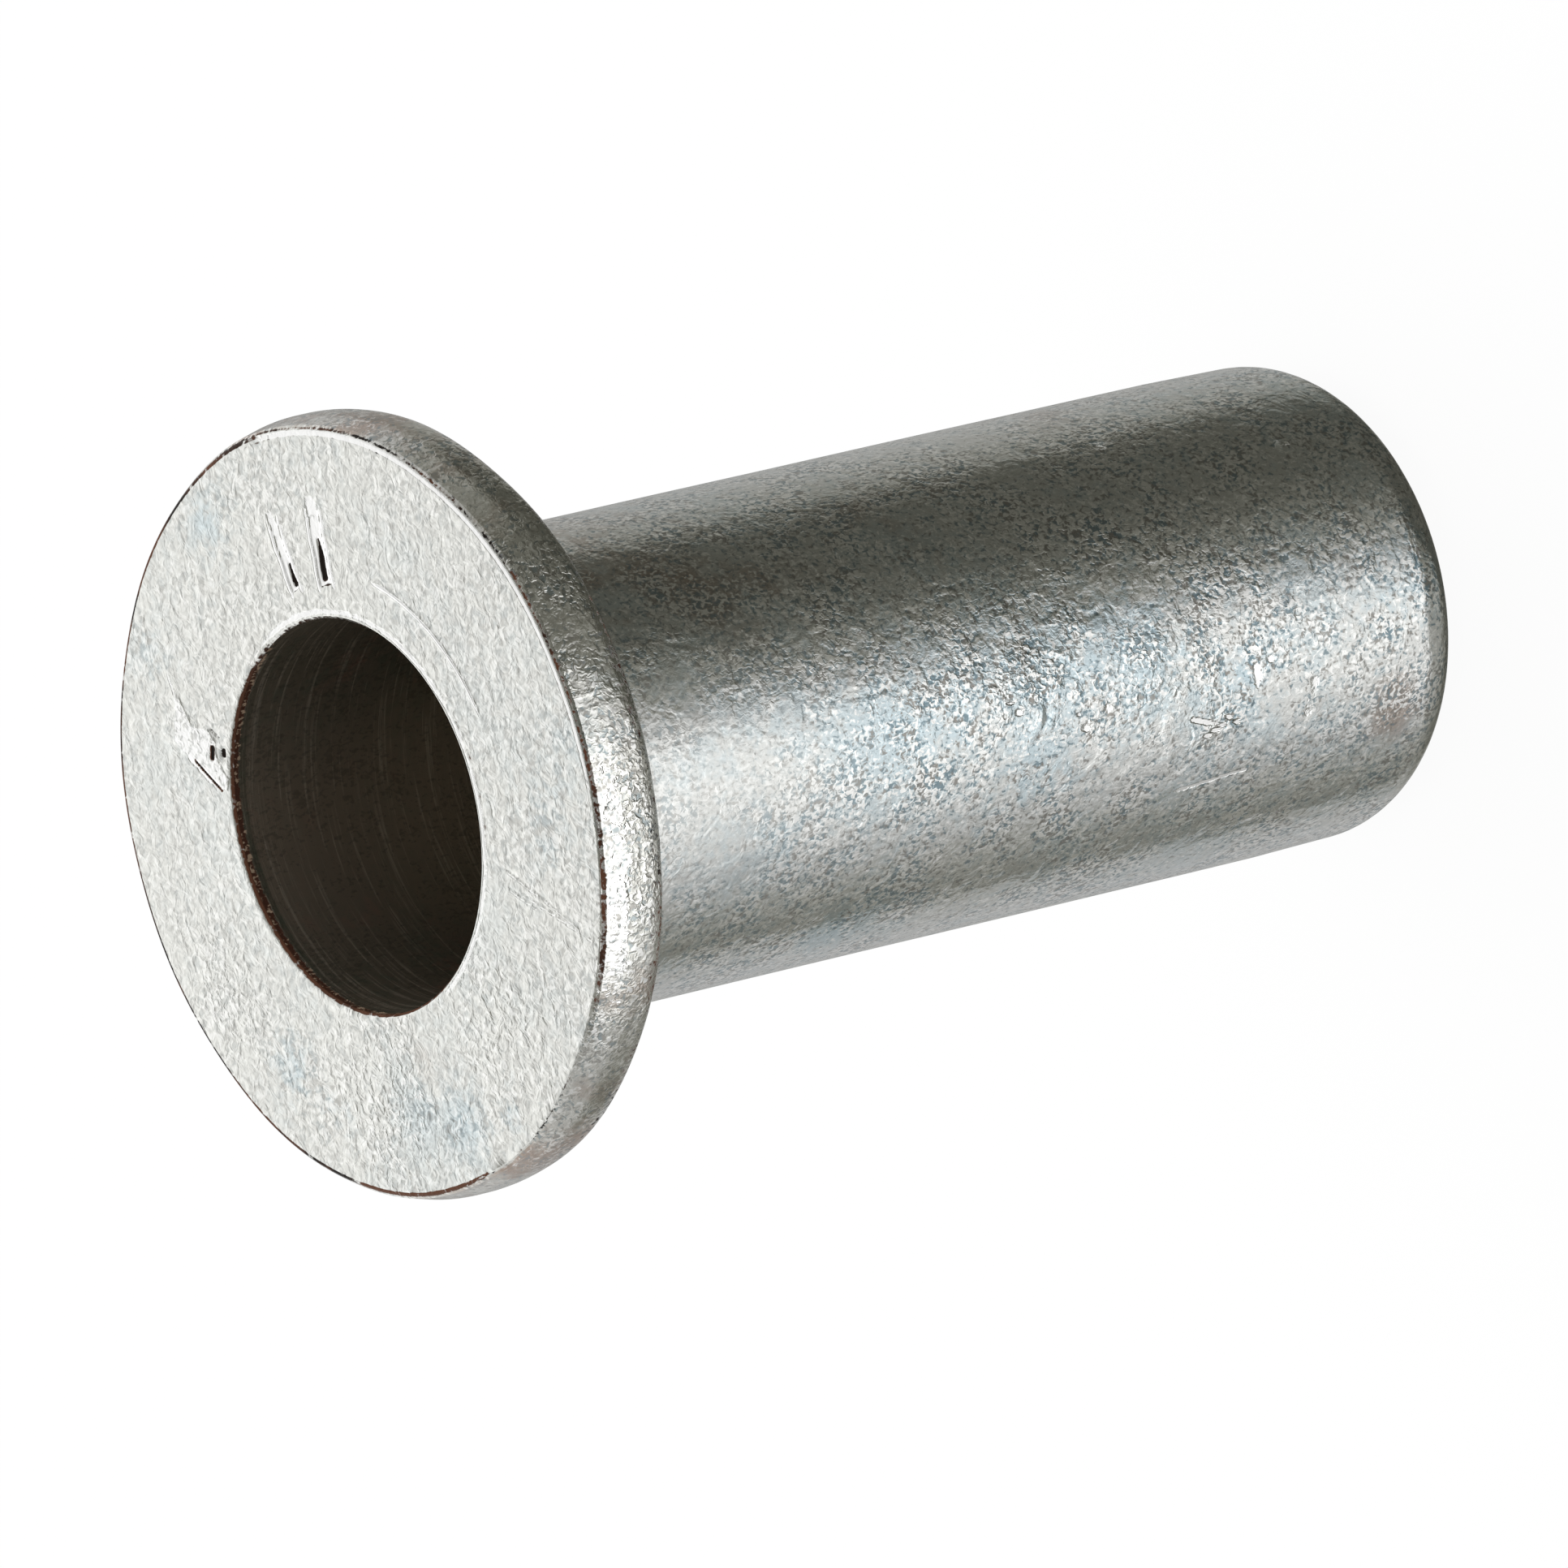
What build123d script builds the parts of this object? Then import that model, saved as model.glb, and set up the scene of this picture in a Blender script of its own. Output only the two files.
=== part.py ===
"""Closed-end rivet nut, M6, with a flat round head: one cold-formed steel piece.

Frame: millimetres. The nut stands on its closed end, with the origin at the centre of that
end and +Z up along the axis, so the head and the mouth of the hole are at the top.

From the mouth down, the section is: a flat head, a thin plain wall that folds into the
bulge behind the sheet when the nut is set, a thick wall that is tapped M6, and a solid end.
"""
from build123d import *
import os
from math import radians, tan

# ---- driving dimensions ------------------------------------------------------------------

THREAD_SIZE = 6.0            # M6 coarse
THREAD_PITCH = 1.0
LENGTH = 22.5                # over all, head face to closed end

SHANK_DIAMETER = 9.0         # passes the hole in the sheet
HEAD_DIAMETER = 14.3
HEAD_THICKNESS = 1.5

MOUTH_DIAMETER = 7.3         # plain bore inside the wall that folds
MOUTH_DEPTH = 8.0            # head face to the foot of the plain bore
STEP_ANGLE = 45.0            # cone between the plain bore and the thread, from the axis
THREAD_FLOOR = 4.6           # height where the full tapped bore ends
DRILL_ANGLE = 118.0          # included angle of the blind hole's point

FACE_EDGE_RADIUS = 0.20      # edge of the head's face
BACK_EDGE_RADIUS = 0.38      # edge of the head's underside
UNDER_HEAD_RADIUS = 0.30     # where the shank meets the head
MOUTH_BREAK = 0.08           # small bevel round the mouth

NOSE_LENGTH = 3.0            # the closed end is drawn in slightly over this length
NOSE_DRAW = 0.12             # by this much on the radius
NOSE_RADIUS = 1.2            # its rounded corner

# ---- sizes that follow from them ---------------------------------------------------------

SHANK_RADIUS = SHANK_DIAMETER / 2
HEAD_RADIUS = HEAD_DIAMETER / 2
MOUTH_RADIUS = MOUTH_DIAMETER / 2
TAPPED_RADIUS = (THREAD_SIZE - THREAD_PITCH) / 2        # crest of the inner thread
HEAD_UNDERSIDE = LENGTH - HEAD_THICKNESS
MOUTH_FLOOR = LENGTH - MOUTH_DEPTH
STEP_HEIGHT = (MOUTH_RADIUS - TAPPED_RADIUS) / tan(radians(STEP_ANGLE))
THREAD_TOP = MOUTH_FLOOR - STEP_HEIGHT
DRILL_POINT = THREAD_FLOOR - TAPPED_RADIUS / tan(radians(DRILL_ANGLE / 2))
NOSE_END_RADIUS = SHANK_RADIUS - NOSE_DRAW

TINY = 1e-4                  # how closely an edge is matched to its place


def turned(*outline):
    """The solid swept round Z by a closed outline of (radius, height) points."""
    with BuildPart() as part:
        with BuildSketch(Plane.XZ):
            with BuildLine():
                Polyline(*outline, close=True)
            make_face()
        revolve(axis=Axis.Z)
    return part.part


def ring(part, radius, height):
    """The circular edge of that radius at that height."""
    circles = part.edges().filter_by(GeomType.CIRCLE)
    level = [edge for edge in circles if abs(edge.arc_center.Z - height) < TINY]
    return [edge for edge in level if abs(edge.radius - radius) < TINY]


def blank():
    """The headed blank before its hole: nose, shank and flat head, with formed corners."""
    body = turned(
        (0, 0),
        (NOSE_END_RADIUS, 0),
        (SHANK_RADIUS, NOSE_LENGTH),
        (SHANK_RADIUS, HEAD_UNDERSIDE),
        (HEAD_RADIUS, HEAD_UNDERSIDE),
        (HEAD_RADIUS, LENGTH),
        (0, LENGTH),
    )
    body = fillet(ring(body, SHANK_RADIUS, HEAD_UNDERSIDE), UNDER_HEAD_RADIUS)
    body = fillet(ring(body, HEAD_RADIUS, HEAD_UNDERSIDE), BACK_EDGE_RADIUS)
    body = fillet(ring(body, HEAD_RADIUS, LENGTH), FACE_EDGE_RADIUS)
    return fillet(ring(body, NOSE_END_RADIUS, 0), NOSE_RADIUS)


def hole():
    """The stepped blind hole: bevelled mouth, plain bore, cone, tapped bore, drill point."""
    return turned(
        (0, DRILL_POINT),
        (TAPPED_RADIUS, THREAD_FLOOR),
        (TAPPED_RADIUS, THREAD_TOP),
        (MOUTH_RADIUS, MOUTH_FLOOR),
        (MOUTH_RADIUS, LENGTH - MOUTH_BREAK),
        (MOUTH_RADIUS + MOUTH_BREAK, LENGTH),
        (0, LENGTH),
    )


def rivet_nut_body():
    """The whole nut, one solid."""
    return blank() - hole()


def write(node, shape):
    """Write one node's STEP file and say what was written."""
    shape.label = node
    export_step(shape, f"parts/{node}.step")
    size = shape.bounding_box().size
    print(f"{node}: {size.X:.2f} x {size.Y:.2f} x {size.Z:.2f} mm, {shape.volume:.1f} mm3")


os.makedirs("parts", exist_ok=True)
write("rivet_nut_body", rivet_nut_body())
print(f"plain wall {SHANK_RADIUS - MOUTH_RADIUS:.2f} mm thick")
print(f"tapped from {THREAD_TOP:.2f} to {THREAD_FLOOR:.2f} mm, hole ends at {DRILL_POINT:.2f} mm")
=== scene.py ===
# %% [markdown]
# # A closed-end rivet nut in zinc-plated steel
# A rivet nut is a thread for thin sheet. It is one piece of steel: a flat round head, a plain thin-walled
# barrel under it that folds behind the sheet when the nut is pulled up, and below that a thick part with
# the thread cut in it. This one is closed at the foot, so nothing leaks past the screw. The measured CAD
# model is the frame for everything here. We load it first and never change its size.

from math import cos, pi, radians, sin, tau

import bmesh
import bpy
import numpy as np
from mathutils import Matrix, Vector


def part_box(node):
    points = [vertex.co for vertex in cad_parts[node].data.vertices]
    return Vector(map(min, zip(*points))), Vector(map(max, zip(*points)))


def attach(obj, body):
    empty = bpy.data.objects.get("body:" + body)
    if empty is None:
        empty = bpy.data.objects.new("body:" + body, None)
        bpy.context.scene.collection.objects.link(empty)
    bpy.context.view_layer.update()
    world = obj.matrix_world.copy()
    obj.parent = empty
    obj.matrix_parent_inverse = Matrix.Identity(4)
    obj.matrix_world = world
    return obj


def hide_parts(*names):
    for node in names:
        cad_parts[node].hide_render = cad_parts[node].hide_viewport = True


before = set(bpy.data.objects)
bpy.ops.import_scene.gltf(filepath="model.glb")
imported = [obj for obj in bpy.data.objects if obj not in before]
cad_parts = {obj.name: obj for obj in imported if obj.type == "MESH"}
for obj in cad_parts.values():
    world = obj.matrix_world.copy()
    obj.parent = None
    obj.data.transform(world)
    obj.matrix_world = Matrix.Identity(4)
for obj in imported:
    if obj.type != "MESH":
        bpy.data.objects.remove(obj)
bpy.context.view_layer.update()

# %% [markdown]
# ## Sizes
# Turned work is described by radii and heights on its axis. The head's radius and the overall height are
# read from the frame, so the skin made here fits the CAD solid. The others are the working sizes of an
# M6 nut, in millimetres, and MM turns them into Blender's metres.

# %% Sizes in millimetres
MM = 0.001
node_low, node_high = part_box("rivet_nut_body")
HEAD_RADIUS = (node_high[0] - node_low[0]) / 2 / MM
HEIGHT = (node_high[2] - node_low[2]) / MM
HEAD_THICKNESS = 1.5
HEAD_UNDERSIDE = HEIGHT - HEAD_THICKNESS
SHANK_RADIUS = 4.445
FOOT_RADIUS = 4.38
FOOT_TAPER = 3.0
MOUTH_RADIUS = 3.60
MOUTH_BREAK = 0.05
FACE_EDGE = 0.20
MOUTH_FLOOR = 14.5
THREAD_RADIUS = 2.5
THREAD_PITCH = 1.0
THREAD_DEPTH = 0.5
THREAD_TOP = 13.35
THREAD_FOOT = 4.6
DRILL_POINT = 3.1
print("head radius", HEAD_RADIUS, "height", HEIGHT)

# %% [markdown]
# ## The viewpoint
# A small part is shot with a long lens from far off, so its two ends are almost the same size. The camera
# looks down at 37 degrees and is rolled, which lays the standing nut on its side in the picture.

# %% Camera
def add_object(name, data):
    """A new object in the scene, made of that mesh, camera or lamp."""
    made = bpy.data.objects.new(name, data)
    bpy.context.scene.collection.objects.link(made)
    return made


camera_data = bpy.data.cameras.new("long_lens")
camera_data.lens = 609.9
camera_data.sensor_width = 36.0
camera_data.clip_start = 0.05
camera_data.clip_end = 20.0
camera = add_object("camera", camera_data)
bpy.context.scene.camera = camera

LOOK_DOWN = radians(36.966)
ROLL = radians(-103.187)
look = Vector((0, cos(LOOK_DOWN), -sin(LOOK_DOWN)))
level_right = Vector((1, 0, 0))
level_up = Vector((0, sin(LOOK_DOWN), cos(LOOK_DOWN)))
right = level_right * cos(ROLL) + level_up * sin(ROLL)
up = level_up * cos(ROLL) - level_right * sin(ROLL)
CAMERA_PLACE = Vector((-1.174, -383.595, 301.701)) * MM
camera.matrix_world = Matrix(
    (
        (right.x, up.x, -look.x, CAMERA_PLACE.x),
        (right.y, up.y, -look.y, CAMERA_PLACE.y),
        (right.z, up.z, -look.z, CAMERA_PLACE.z),
        (0, 0, 0, 1),
    )
)
print("camera stands", round(CAMERA_PLACE.length, 3), "m away")

# %% [markdown]
# ## Small helpers for node trees
# Geometry Nodes and shader nodes share one way of working: add a node, set it, join sockets. A few
# helpers keep the trees below short enough to read.

# %% Node helpers
def add_node(tree, kind, label="", **settings):
    """A new node of that kind, with its settings."""
    made = tree.nodes.new(kind)
    made.label = label
    for name, value in settings.items():
        setattr(made, name, value)
    return made


def feed(tree, socket, value):
    """Joins a socket to another one, or gives it a plain value."""
    if isinstance(value, bpy.types.NodeSocket):
        tree.links.new(value, socket)
    else:
        socket.default_value = value


def maths(tree, operation, *values, clamp=False):
    """A Math node, and its result."""
    made = add_node(tree, "ShaderNodeMath", operation=operation, use_clamp=clamp)
    for socket, value in zip(made.inputs, values):
        feed(tree, socket, value)
    return made.outputs[0]


def combine(tree, label, *parts):
    """Three numbers joined into one vector."""
    made = add_node(tree, "ShaderNodeCombineXYZ", label)
    for socket, part in zip(made.inputs, parts):
        feed(tree, socket, part)
    return made.outputs[0]


print("node helpers: add_node, feed, maths, combine")

# %% [markdown]
# ## The turned outline
# On a lathe or a cold-forming press the shape comes from one half-section swept round the axis. We write
# that section as corners, each with a radius, starting at the foot's centre, going up the outside, over
# the head and down the bore to the drill's point. A spin of hand-placed points would also do, but named
# corners can be checked against the CAD model one by one. Each stretch has its own row spacing: wide on
# the plain barrel, fine on the head's face, where small marks come later.

# %% Corners of the section
# radius, height, corner radius, rows on the corner, zone and row spacing of the stretch that follows
END, SHANK, UNDERSIDE, RIM, FACE, BORE, THREAD = range(7)
CORNERS = [
    (0.0, 0.0, 0.0, 0, END, 0.55),
    (FOOT_RADIUS, 0.0, 1.20, 14, SHANK, 0.50),
    (SHANK_RADIUS, FOOT_TAPER, 0.0, 0, SHANK, 0.50),
    (SHANK_RADIUS, HEAD_UNDERSIDE, 0.30, 7, UNDERSIDE, 0.30),
    (HEAD_RADIUS, HEAD_UNDERSIDE, 0.50, 10, RIM, 0.09),
    (HEAD_RADIUS, HEIGHT - 0.60, 1.40, 6, RIM, 0.06),
    (HEAD_RADIUS - 0.125, HEIGHT - 0.085, 0.05, 4, RIM, 0.035),
    (HEAD_RADIUS - FACE_EDGE, HEIGHT, 0.04, 3, FACE, 0.035),
    (HEAD_RADIUS - FACE_EDGE - 0.14, HEIGHT, 0.0, 0, FACE, 0.10),
    (MOUTH_RADIUS + MOUTH_BREAK, HEIGHT, 0.03, 3, FACE, 0.04),
    (MOUTH_RADIUS, HEIGHT - MOUTH_BREAK, 0.03, 3, BORE, 0.07),
    (MOUTH_RADIUS, HEIGHT - 0.60, 0.0, 0, BORE, 0.45),
    (MOUTH_RADIUS, MOUTH_FLOOR, 0.06, 2, BORE, 0.30),
    (THREAD_RADIUS, THREAD_TOP, 0.0, 0, THREAD, 0.14),
    (THREAD_RADIUS, THREAD_FOOT, 0.0, 0, BORE, 0.45),
    (0.0, DRILL_POINT, 0.0, 0, BORE, 0.45),
]


def rounded_section(corners):
    """Points (radius, height, zone) along the section, with its corners rounded."""
    points = []
    spots = [np.array(corner[:2]) for corner in corners]
    last = len(corners) - 1
    leave = None
    for i, corner in enumerate(corners):
        here = spots[i]
        if 0 < i < last and corner[2] > 0:
            back = (spots[i - 1] - here) / np.linalg.norm(spots[i - 1] - here)
            ahead = (spots[i + 1] - here) / np.linalg.norm(spots[i + 1] - here)
            half = np.arccos(np.clip(back @ ahead, -1, 1)) / 2
            reach = corner[2] / np.tan(half)
            middle = (back + ahead) / np.linalg.norm(back + ahead)
            centre = here + middle * corner[2] / np.sin(half)
            first = here + back * reach
            final = here + ahead * reach
            sweep = np.linspace(0, 1, corner[3] + 1)
            arc = []
            for part in sweep:
                spoke = (first - centre) * np.sin((1 - part) * (pi - 2 * half))
                spoke = spoke + (final - centre) * np.sin(part * (pi - 2 * half))
                arc.append(centre + spoke / np.sin(pi - 2 * half))
        else:
            first = here
            final = here
            arc = [here]
        if i > 0:
            run = np.linalg.norm(first - leave)
            count = max(int(round(run / corners[i - 1][5])), 1)
            for step in range(1, count):
                spot = leave + (first - leave) * step / count
                points.append((spot[0], spot[1], corners[i - 1][4]))
        for k, spot in enumerate(arc):
            zone = corner[4] if k == len(arc) - 1 or corner[4] in (RIM, FACE) else corners[max(i - 1, 0)][4]
            points.append((spot[0], spot[1], zone))
        leave = final
    return np.array(points)


section = rounded_section(CORNERS)
print("rows in the section:", len(section))

# %% [markdown]
# ## Materials, named first
# The Geometry Nodes tree hands out the materials, so they are made empty here and get their nodes further
# down, where each finish has its own step.

# %% Empty materials
MATERIAL_NAMES = ["zinc_barrel", "zinc_rim", "zinc_face", "oiled_bore", "cut_thread"]
finishes = {}
for name in MATERIAL_NAMES:
    finishes[name] = bpy.data.materials.new(name)
    finishes[name].use_nodes = True

# %% [markdown]
# ## Spinning the section and cutting the thread
# The body follows one rule, so Geometry Nodes make it. A grid has one column for each angle and one row
# for each point of the section. Every grid point looks up its row's radius and height and is moved there,
# and merging by distance closes the seam and both poles. The thread is the same rule with one more term:
# the cutter's depth follows height over pitch minus the share of a turn, and that is what a helix is. A
# Screw modifier could make the thread too, but it would be a second shell pushed through the first one.

# %% Geometry Nodes tree
COLUMNS = 240
spin_tree = bpy.data.node_groups.new("spun_and_threaded", "GeometryNodeTree")
spin_tree.is_modifier = True
tree_inputs = [("Section", "NodeSocketGeometry"), ("Columns", "NodeSocketInt")]
for name in ("Thread Pitch", "Thread Depth", "Waviness", "Waves per Metre", "Seed"):
    tree_inputs.append((name, "NodeSocketFloat"))
for name in MATERIAL_NAMES:
    tree_inputs.append((name, "NodeSocketMaterial"))
for name, kind in tree_inputs:
    spin_tree.interface.new_socket(name, in_out="INPUT", socket_type=kind)
spin_tree.interface.new_socket("Nut", in_out="OUTPUT", socket_type="NodeSocketGeometry")

given = add_node(spin_tree, "NodeGroupInput")
result = add_node(spin_tree, "NodeGroupOutput")

size = add_node(spin_tree, "GeometryNodeAttributeDomainSize", "rows in the section", component="MESH")
spin_tree.links.new(given.outputs["Section"], size.inputs[0])
rows = size.outputs["Point Count"]

grid = add_node(spin_tree, "GeometryNodeMeshGrid", "columns by rows")
feed(spin_tree, grid.inputs["Vertices X"], maths(spin_tree, "ADD", given.outputs["Columns"], 1.0))
feed(spin_tree, grid.inputs["Vertices Y"], rows)

index = add_node(spin_tree, "GeometryNodeInputIndex").outputs[0]
column = maths(spin_tree, "FLOOR", maths(spin_tree, "DIVIDE", maths(spin_tree, "ADD", index, 0.5), rows))
row = maths(spin_tree, "SUBTRACT", index, maths(spin_tree, "MULTIPLY", column, rows))
turn = maths(spin_tree, "DIVIDE", column, given.outputs["Columns"])


def from_section(data_type, value):
    """The value of the section's point in this row."""
    sample = add_node(spin_tree, "GeometryNodeSampleIndex", data_type=data_type, domain="POINT")
    spin_tree.links.new(given.outputs["Section"], sample.inputs["Geometry"])
    spin_tree.links.new(value, sample.inputs["Value"])
    spin_tree.links.new(row, sample.inputs["Index"])
    return sample.outputs[0]


def kept_number(name):
    """A named number kept on the points."""
    read = add_node(spin_tree, "GeometryNodeInputNamedAttribute", name, data_type="FLOAT")
    read.inputs["Name"].default_value = name
    return read.outputs[0]


def section_value(name):
    """A named number kept on the section's points."""
    return from_section("FLOAT", kept_number(name))


position = add_node(spin_tree, "GeometryNodeInputPosition").outputs[0]
spot = add_node(spin_tree, "ShaderNodeSeparateXYZ", "radius and height")
spin_tree.links.new(from_section("FLOAT_VECTOR", position), spot.inputs[0])
height = spot.outputs["Z"]

# the thread's section: a V with a narrow flat at crest and root
along = maths(spin_tree, "DIVIDE", height, given.outputs["Thread Pitch"])
tooth = maths(spin_tree, "FRACT", maths(spin_tree, "SUBTRACT", along, turn))
flank = maths(spin_tree, "ABSOLUTE", maths(spin_tree, "MULTIPLY_ADD", tooth, 2.0, -1.0))
cut = maths(spin_tree, "MULTIPLY_ADD", flank, 1.25, -0.12, clamp=True)
cut = maths(spin_tree, "MULTIPLY", cut, section_value("threaded"))
cut = maths(spin_tree, "MULTIPLY", cut, given.outputs["Thread Depth"])

# formed steel is never quite round: slow, shallow waves round the barrel
WAVE_RADIUS = 0.0045
WAVE_STRETCH = 0.45
around = maths(spin_tree, "MULTIPLY", turn, tau)
eastward = maths(spin_tree, "COSINE", around)
northward = maths(spin_tree, "SINE", around)
wave_spot = combine(
    spin_tree,
    "where the waves are read",
    maths(spin_tree, "MULTIPLY", eastward, WAVE_RADIUS),
    maths(spin_tree, "MULTIPLY", northward, WAVE_RADIUS),
    maths(spin_tree, "MULTIPLY", height, WAVE_STRETCH),
)
waves = add_node(spin_tree, "ShaderNodeTexNoise", "waves", noise_dimensions="4D")
spin_tree.links.new(wave_spot, waves.inputs["Vector"])
spin_tree.links.new(given.outputs["Waves per Metre"], waves.inputs["Scale"])
spin_tree.links.new(given.outputs["Seed"], waves.inputs["W"])
waves.inputs["Detail"].default_value = 1.5
swell = maths(spin_tree, "MULTIPLY_ADD", waves.outputs[0], 2.0, -1.0)
swell = maths(spin_tree, "MULTIPLY", swell, given.outputs["Waviness"])
swell = maths(spin_tree, "MULTIPLY", swell, section_value("wavy"))

radius = maths(spin_tree, "ADD", maths(spin_tree, "ADD", spot.outputs["X"], cut), swell)
stand = combine(
    spin_tree,
    "place on the body",
    maths(spin_tree, "MULTIPLY", radius, eastward),
    maths(spin_tree, "MULTIPLY", radius, northward),
    height,
)


def keep(geometry, name, value):
    """Stores a number on the points, for the steps that come after."""
    store = add_node(spin_tree, "GeometryNodeStoreNamedAttribute", name, data_type="FLOAT", domain="POINT")
    spin_tree.links.new(geometry, store.inputs["Geometry"])
    store.inputs["Name"].default_value = name
    spin_tree.links.new(value, store.inputs["Value"])
    return store.outputs[0]


body = keep(grid.outputs[0], "turned_radius", radius)
body = keep(body, "zone", section_value("zone"))
move = add_node(spin_tree, "GeometryNodeSetPosition")
spin_tree.links.new(body, move.inputs["Geometry"])
spin_tree.links.new(stand, move.inputs["Position"])
WELD_DISTANCE = 0.0000002
weld = add_node(spin_tree, "GeometryNodeMergeByDistance", "close seam and poles")
spin_tree.links.new(move.outputs[0], weld.inputs["Geometry"])
weld.inputs["Distance"].default_value = WELD_DISTANCE
soften = add_node(spin_tree, "GeometryNodeSetShadeSmooth")
spin_tree.links.new(weld.outputs[0], soften.inputs[0])
real = add_node(spin_tree, "GeometryNodeRealizeInstances")
spin_tree.links.new(soften.outputs[0], real.inputs[0])

zone_here = kept_number("zone")
dressed = real.outputs[0]
for name, first_zone in zip(MATERIAL_NAMES, (END, RIM, FACE, BORE, THREAD)):
    dress = add_node(spin_tree, "GeometryNodeSetMaterial", name)
    spin_tree.links.new(dressed, dress.inputs["Geometry"])
    spin_tree.links.new(given.outputs[name], dress.inputs["Material"])
    chosen = maths(spin_tree, "GREATER_THAN", zone_here, first_zone - 0.5)
    spin_tree.links.new(chosen, dress.inputs["Selection"])
    dressed = dress.outputs[0]
spin_tree.links.new(dressed, result.inputs[0])
print("nodes in the tree:", len(spin_tree.nodes))

# %% [markdown]
# The section goes in as loose points joined by edges. Two of its numbers steer the tree: `threaded` fades
# the cutter in below the step and out above the drilled end, and `wavy` keeps the waves off the bore.

# %% Run the tree and keep a plain mesh
def store_number(mesh, name, values):
    """Keeps one number for each point of a mesh, under that name."""
    mesh.attributes.new(name, "FLOAT", "POINT").data.foreach_set("value", values.astype(np.float32))


outline = bpy.data.meshes.new("section")
outline.from_pydata(
    [(r * MM, 0, z * MM) for r, z, _ in section],
    [(k, k + 1) for k in range(len(section) - 1)],
    [],
)
heights = section[:, 1]
zones = section[:, 2]
fade_in = np.clip((heights - THREAD_FOOT - 0.3) / 0.9, 0, 1)
fade_out = np.clip((THREAD_TOP + 0.15 - heights) / 0.35, 0, 1)
steering = {
    "zone": zones,
    "threaded": np.where(zones == THREAD, fade_in * fade_out, 0),
    "wavy": np.where((zones == SHANK) | (zones == RIM), 1.0, 0.0),
}
for name, values in steering.items():
    store_number(outline, name, values)

blank = add_object("blank", outline)
spin = blank.modifiers.new("spin", "NODES")
spin.node_group = spin_tree
settings = {
    "Columns": COLUMNS,
    "Thread Pitch": THREAD_PITCH * MM,
    "Thread Depth": THREAD_DEPTH * MM,
    "Waviness": 0.010 * MM,
    "Waves per Metre": 420.0,
    "Seed": 4.0,
}
for item in spin_tree.interface.items_tree:
    if item.name in settings:
        spin[item.identifier] = settings[item.name]
    elif item.name in finishes:
        spin[item.identifier] = finishes[item.name]

graph = bpy.context.evaluated_depsgraph_get()
evaluated = blank.evaluated_get(graph)
skin = bpy.data.meshes.new_from_object(evaluated, preserve_all_data_layers=True, depsgraph=graph)
skin.name = "rivet_nut"
blank.modifiers.remove(spin)
bpy.data.objects.remove(blank)

numbers = np.empty(len(skin.polygons), dtype=np.int32)
skin.polygons.foreach_get("material_index", numbers)
numbers -= len(skin.materials) - len(MATERIAL_NAMES)
skin.materials.clear()
for name in MATERIAL_NAMES:
    skin.materials.append(finishes[name])
skin.polygons.foreach_set("material_index", numbers)
print("points", len(skin.vertices), "faces", len(skin.polygons))

# %% [markdown]
# ## A finer mesh where small marks go
# The head's face carries marks a few tenths of a millimetre wide. Making the whole grid that fine would
# waste faces on the plain barrel, so only the patches that carry a mark are subdivided, with one more on
# the barrel for its painted glints. New points lie on straight edges, a hair inside the round, and the
# radius stored by the tree puts them back on it.

# %% Refine patches
def refine(mesh, patches):
    """Subdivides the faces inside each (test, cuts) patch and puts the new points on the turned radius."""
    for test, cuts in patches:
        work = bmesh.new()
        work.from_mesh(mesh)
        spots = np.array([v.co for v in work.verts]) / MM
        inside = test(spots[:, 0], spots[:, 1], spots[:, 2])
        edges = [e for e in work.edges if inside[e.verts[0].index] and inside[e.verts[1].index]]
        bmesh.ops.subdivide_edges(work, edges=edges, cuts=cuts, use_grid_fill=True)
        work.to_mesh(mesh)
        work.free()
    spots = np.empty(len(mesh.vertices) * 3)
    mesh.vertices.foreach_get("co", spots)
    spots = spots.reshape(-1, 3)
    turned = np.empty(len(mesh.vertices), dtype=np.float32)
    mesh.attributes["turned_radius"].data.foreach_get("value", turned)
    flat = np.hypot(spots[:, 0], spots[:, 1])
    away = flat > 0.5 * MM
    spots[away, :2] *= (turned[away] / flat[away])[:, None]
    mesh.vertices.foreach_set("co", spots.ravel())
    mesh.update()


def on_face(x, y, z):
    """The flat of the head and its mouth edge."""
    return (z > HEIGHT - 0.12) & (np.hypot(x, y) > MOUTH_RADIUS - 0.05)


def tick_patch(x, y, z):
    """A strip along each of the two punched ticks."""
    beside = np.minimum(np.abs(y + 0.73) - 0.12, np.abs(y - 0.18 - (x - 4.15) * 0.26))
    return on_face(x, y, z) & (x > 3.90) & (x < 6.05) & (beside < 0.36)


def nick_patch(x, y, z):
    """A slanted strip over the nick and its burr."""
    beside = (x - 1.0) * 0.521 - (y - 3.55) * 0.853
    return on_face(x, y, z) & (x > 0.85) & (x < 3.40) & (y > 3.30) & (beside > -0.76) & (beside < 0.62)


def ridge_patch(x, y, z):
    """The arc where the tool left its ring."""
    bearing = np.degrees(np.arctan2(y, x))
    far = np.hypot(x, y)
    return on_face(x, y, z) & (bearing > -79) & (bearing < -23) & (far > 4.30) & (far < 4.66)


def scratch_patch(x, y, z):
    """A strip over the three scratches that lie together."""
    beside = ((x + 1.52) * 2.05 - (y + 4.05) * 1.73) / 2.68
    return on_face(x, y, z) & (beside > -0.46) & (beside < 0.16) & (y < -3.8) & (y > -6.25) & (x < 0)


def lip_patch(x, y, z):
    """The mouth's edge, all the way round."""
    far = np.hypot(x, y)
    return (z > HEIGHT - 0.35) & (far > MOUTH_RADIUS - 0.05) & (far < MOUTH_RADIUS + 0.30)


def edge_patch(x, y, z):
    """The head's front edge, all the way round."""
    far = np.hypot(x, y)
    return (z > HEIGHT - 0.24) & (far > HEAD_RADIUS - 0.40)


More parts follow.
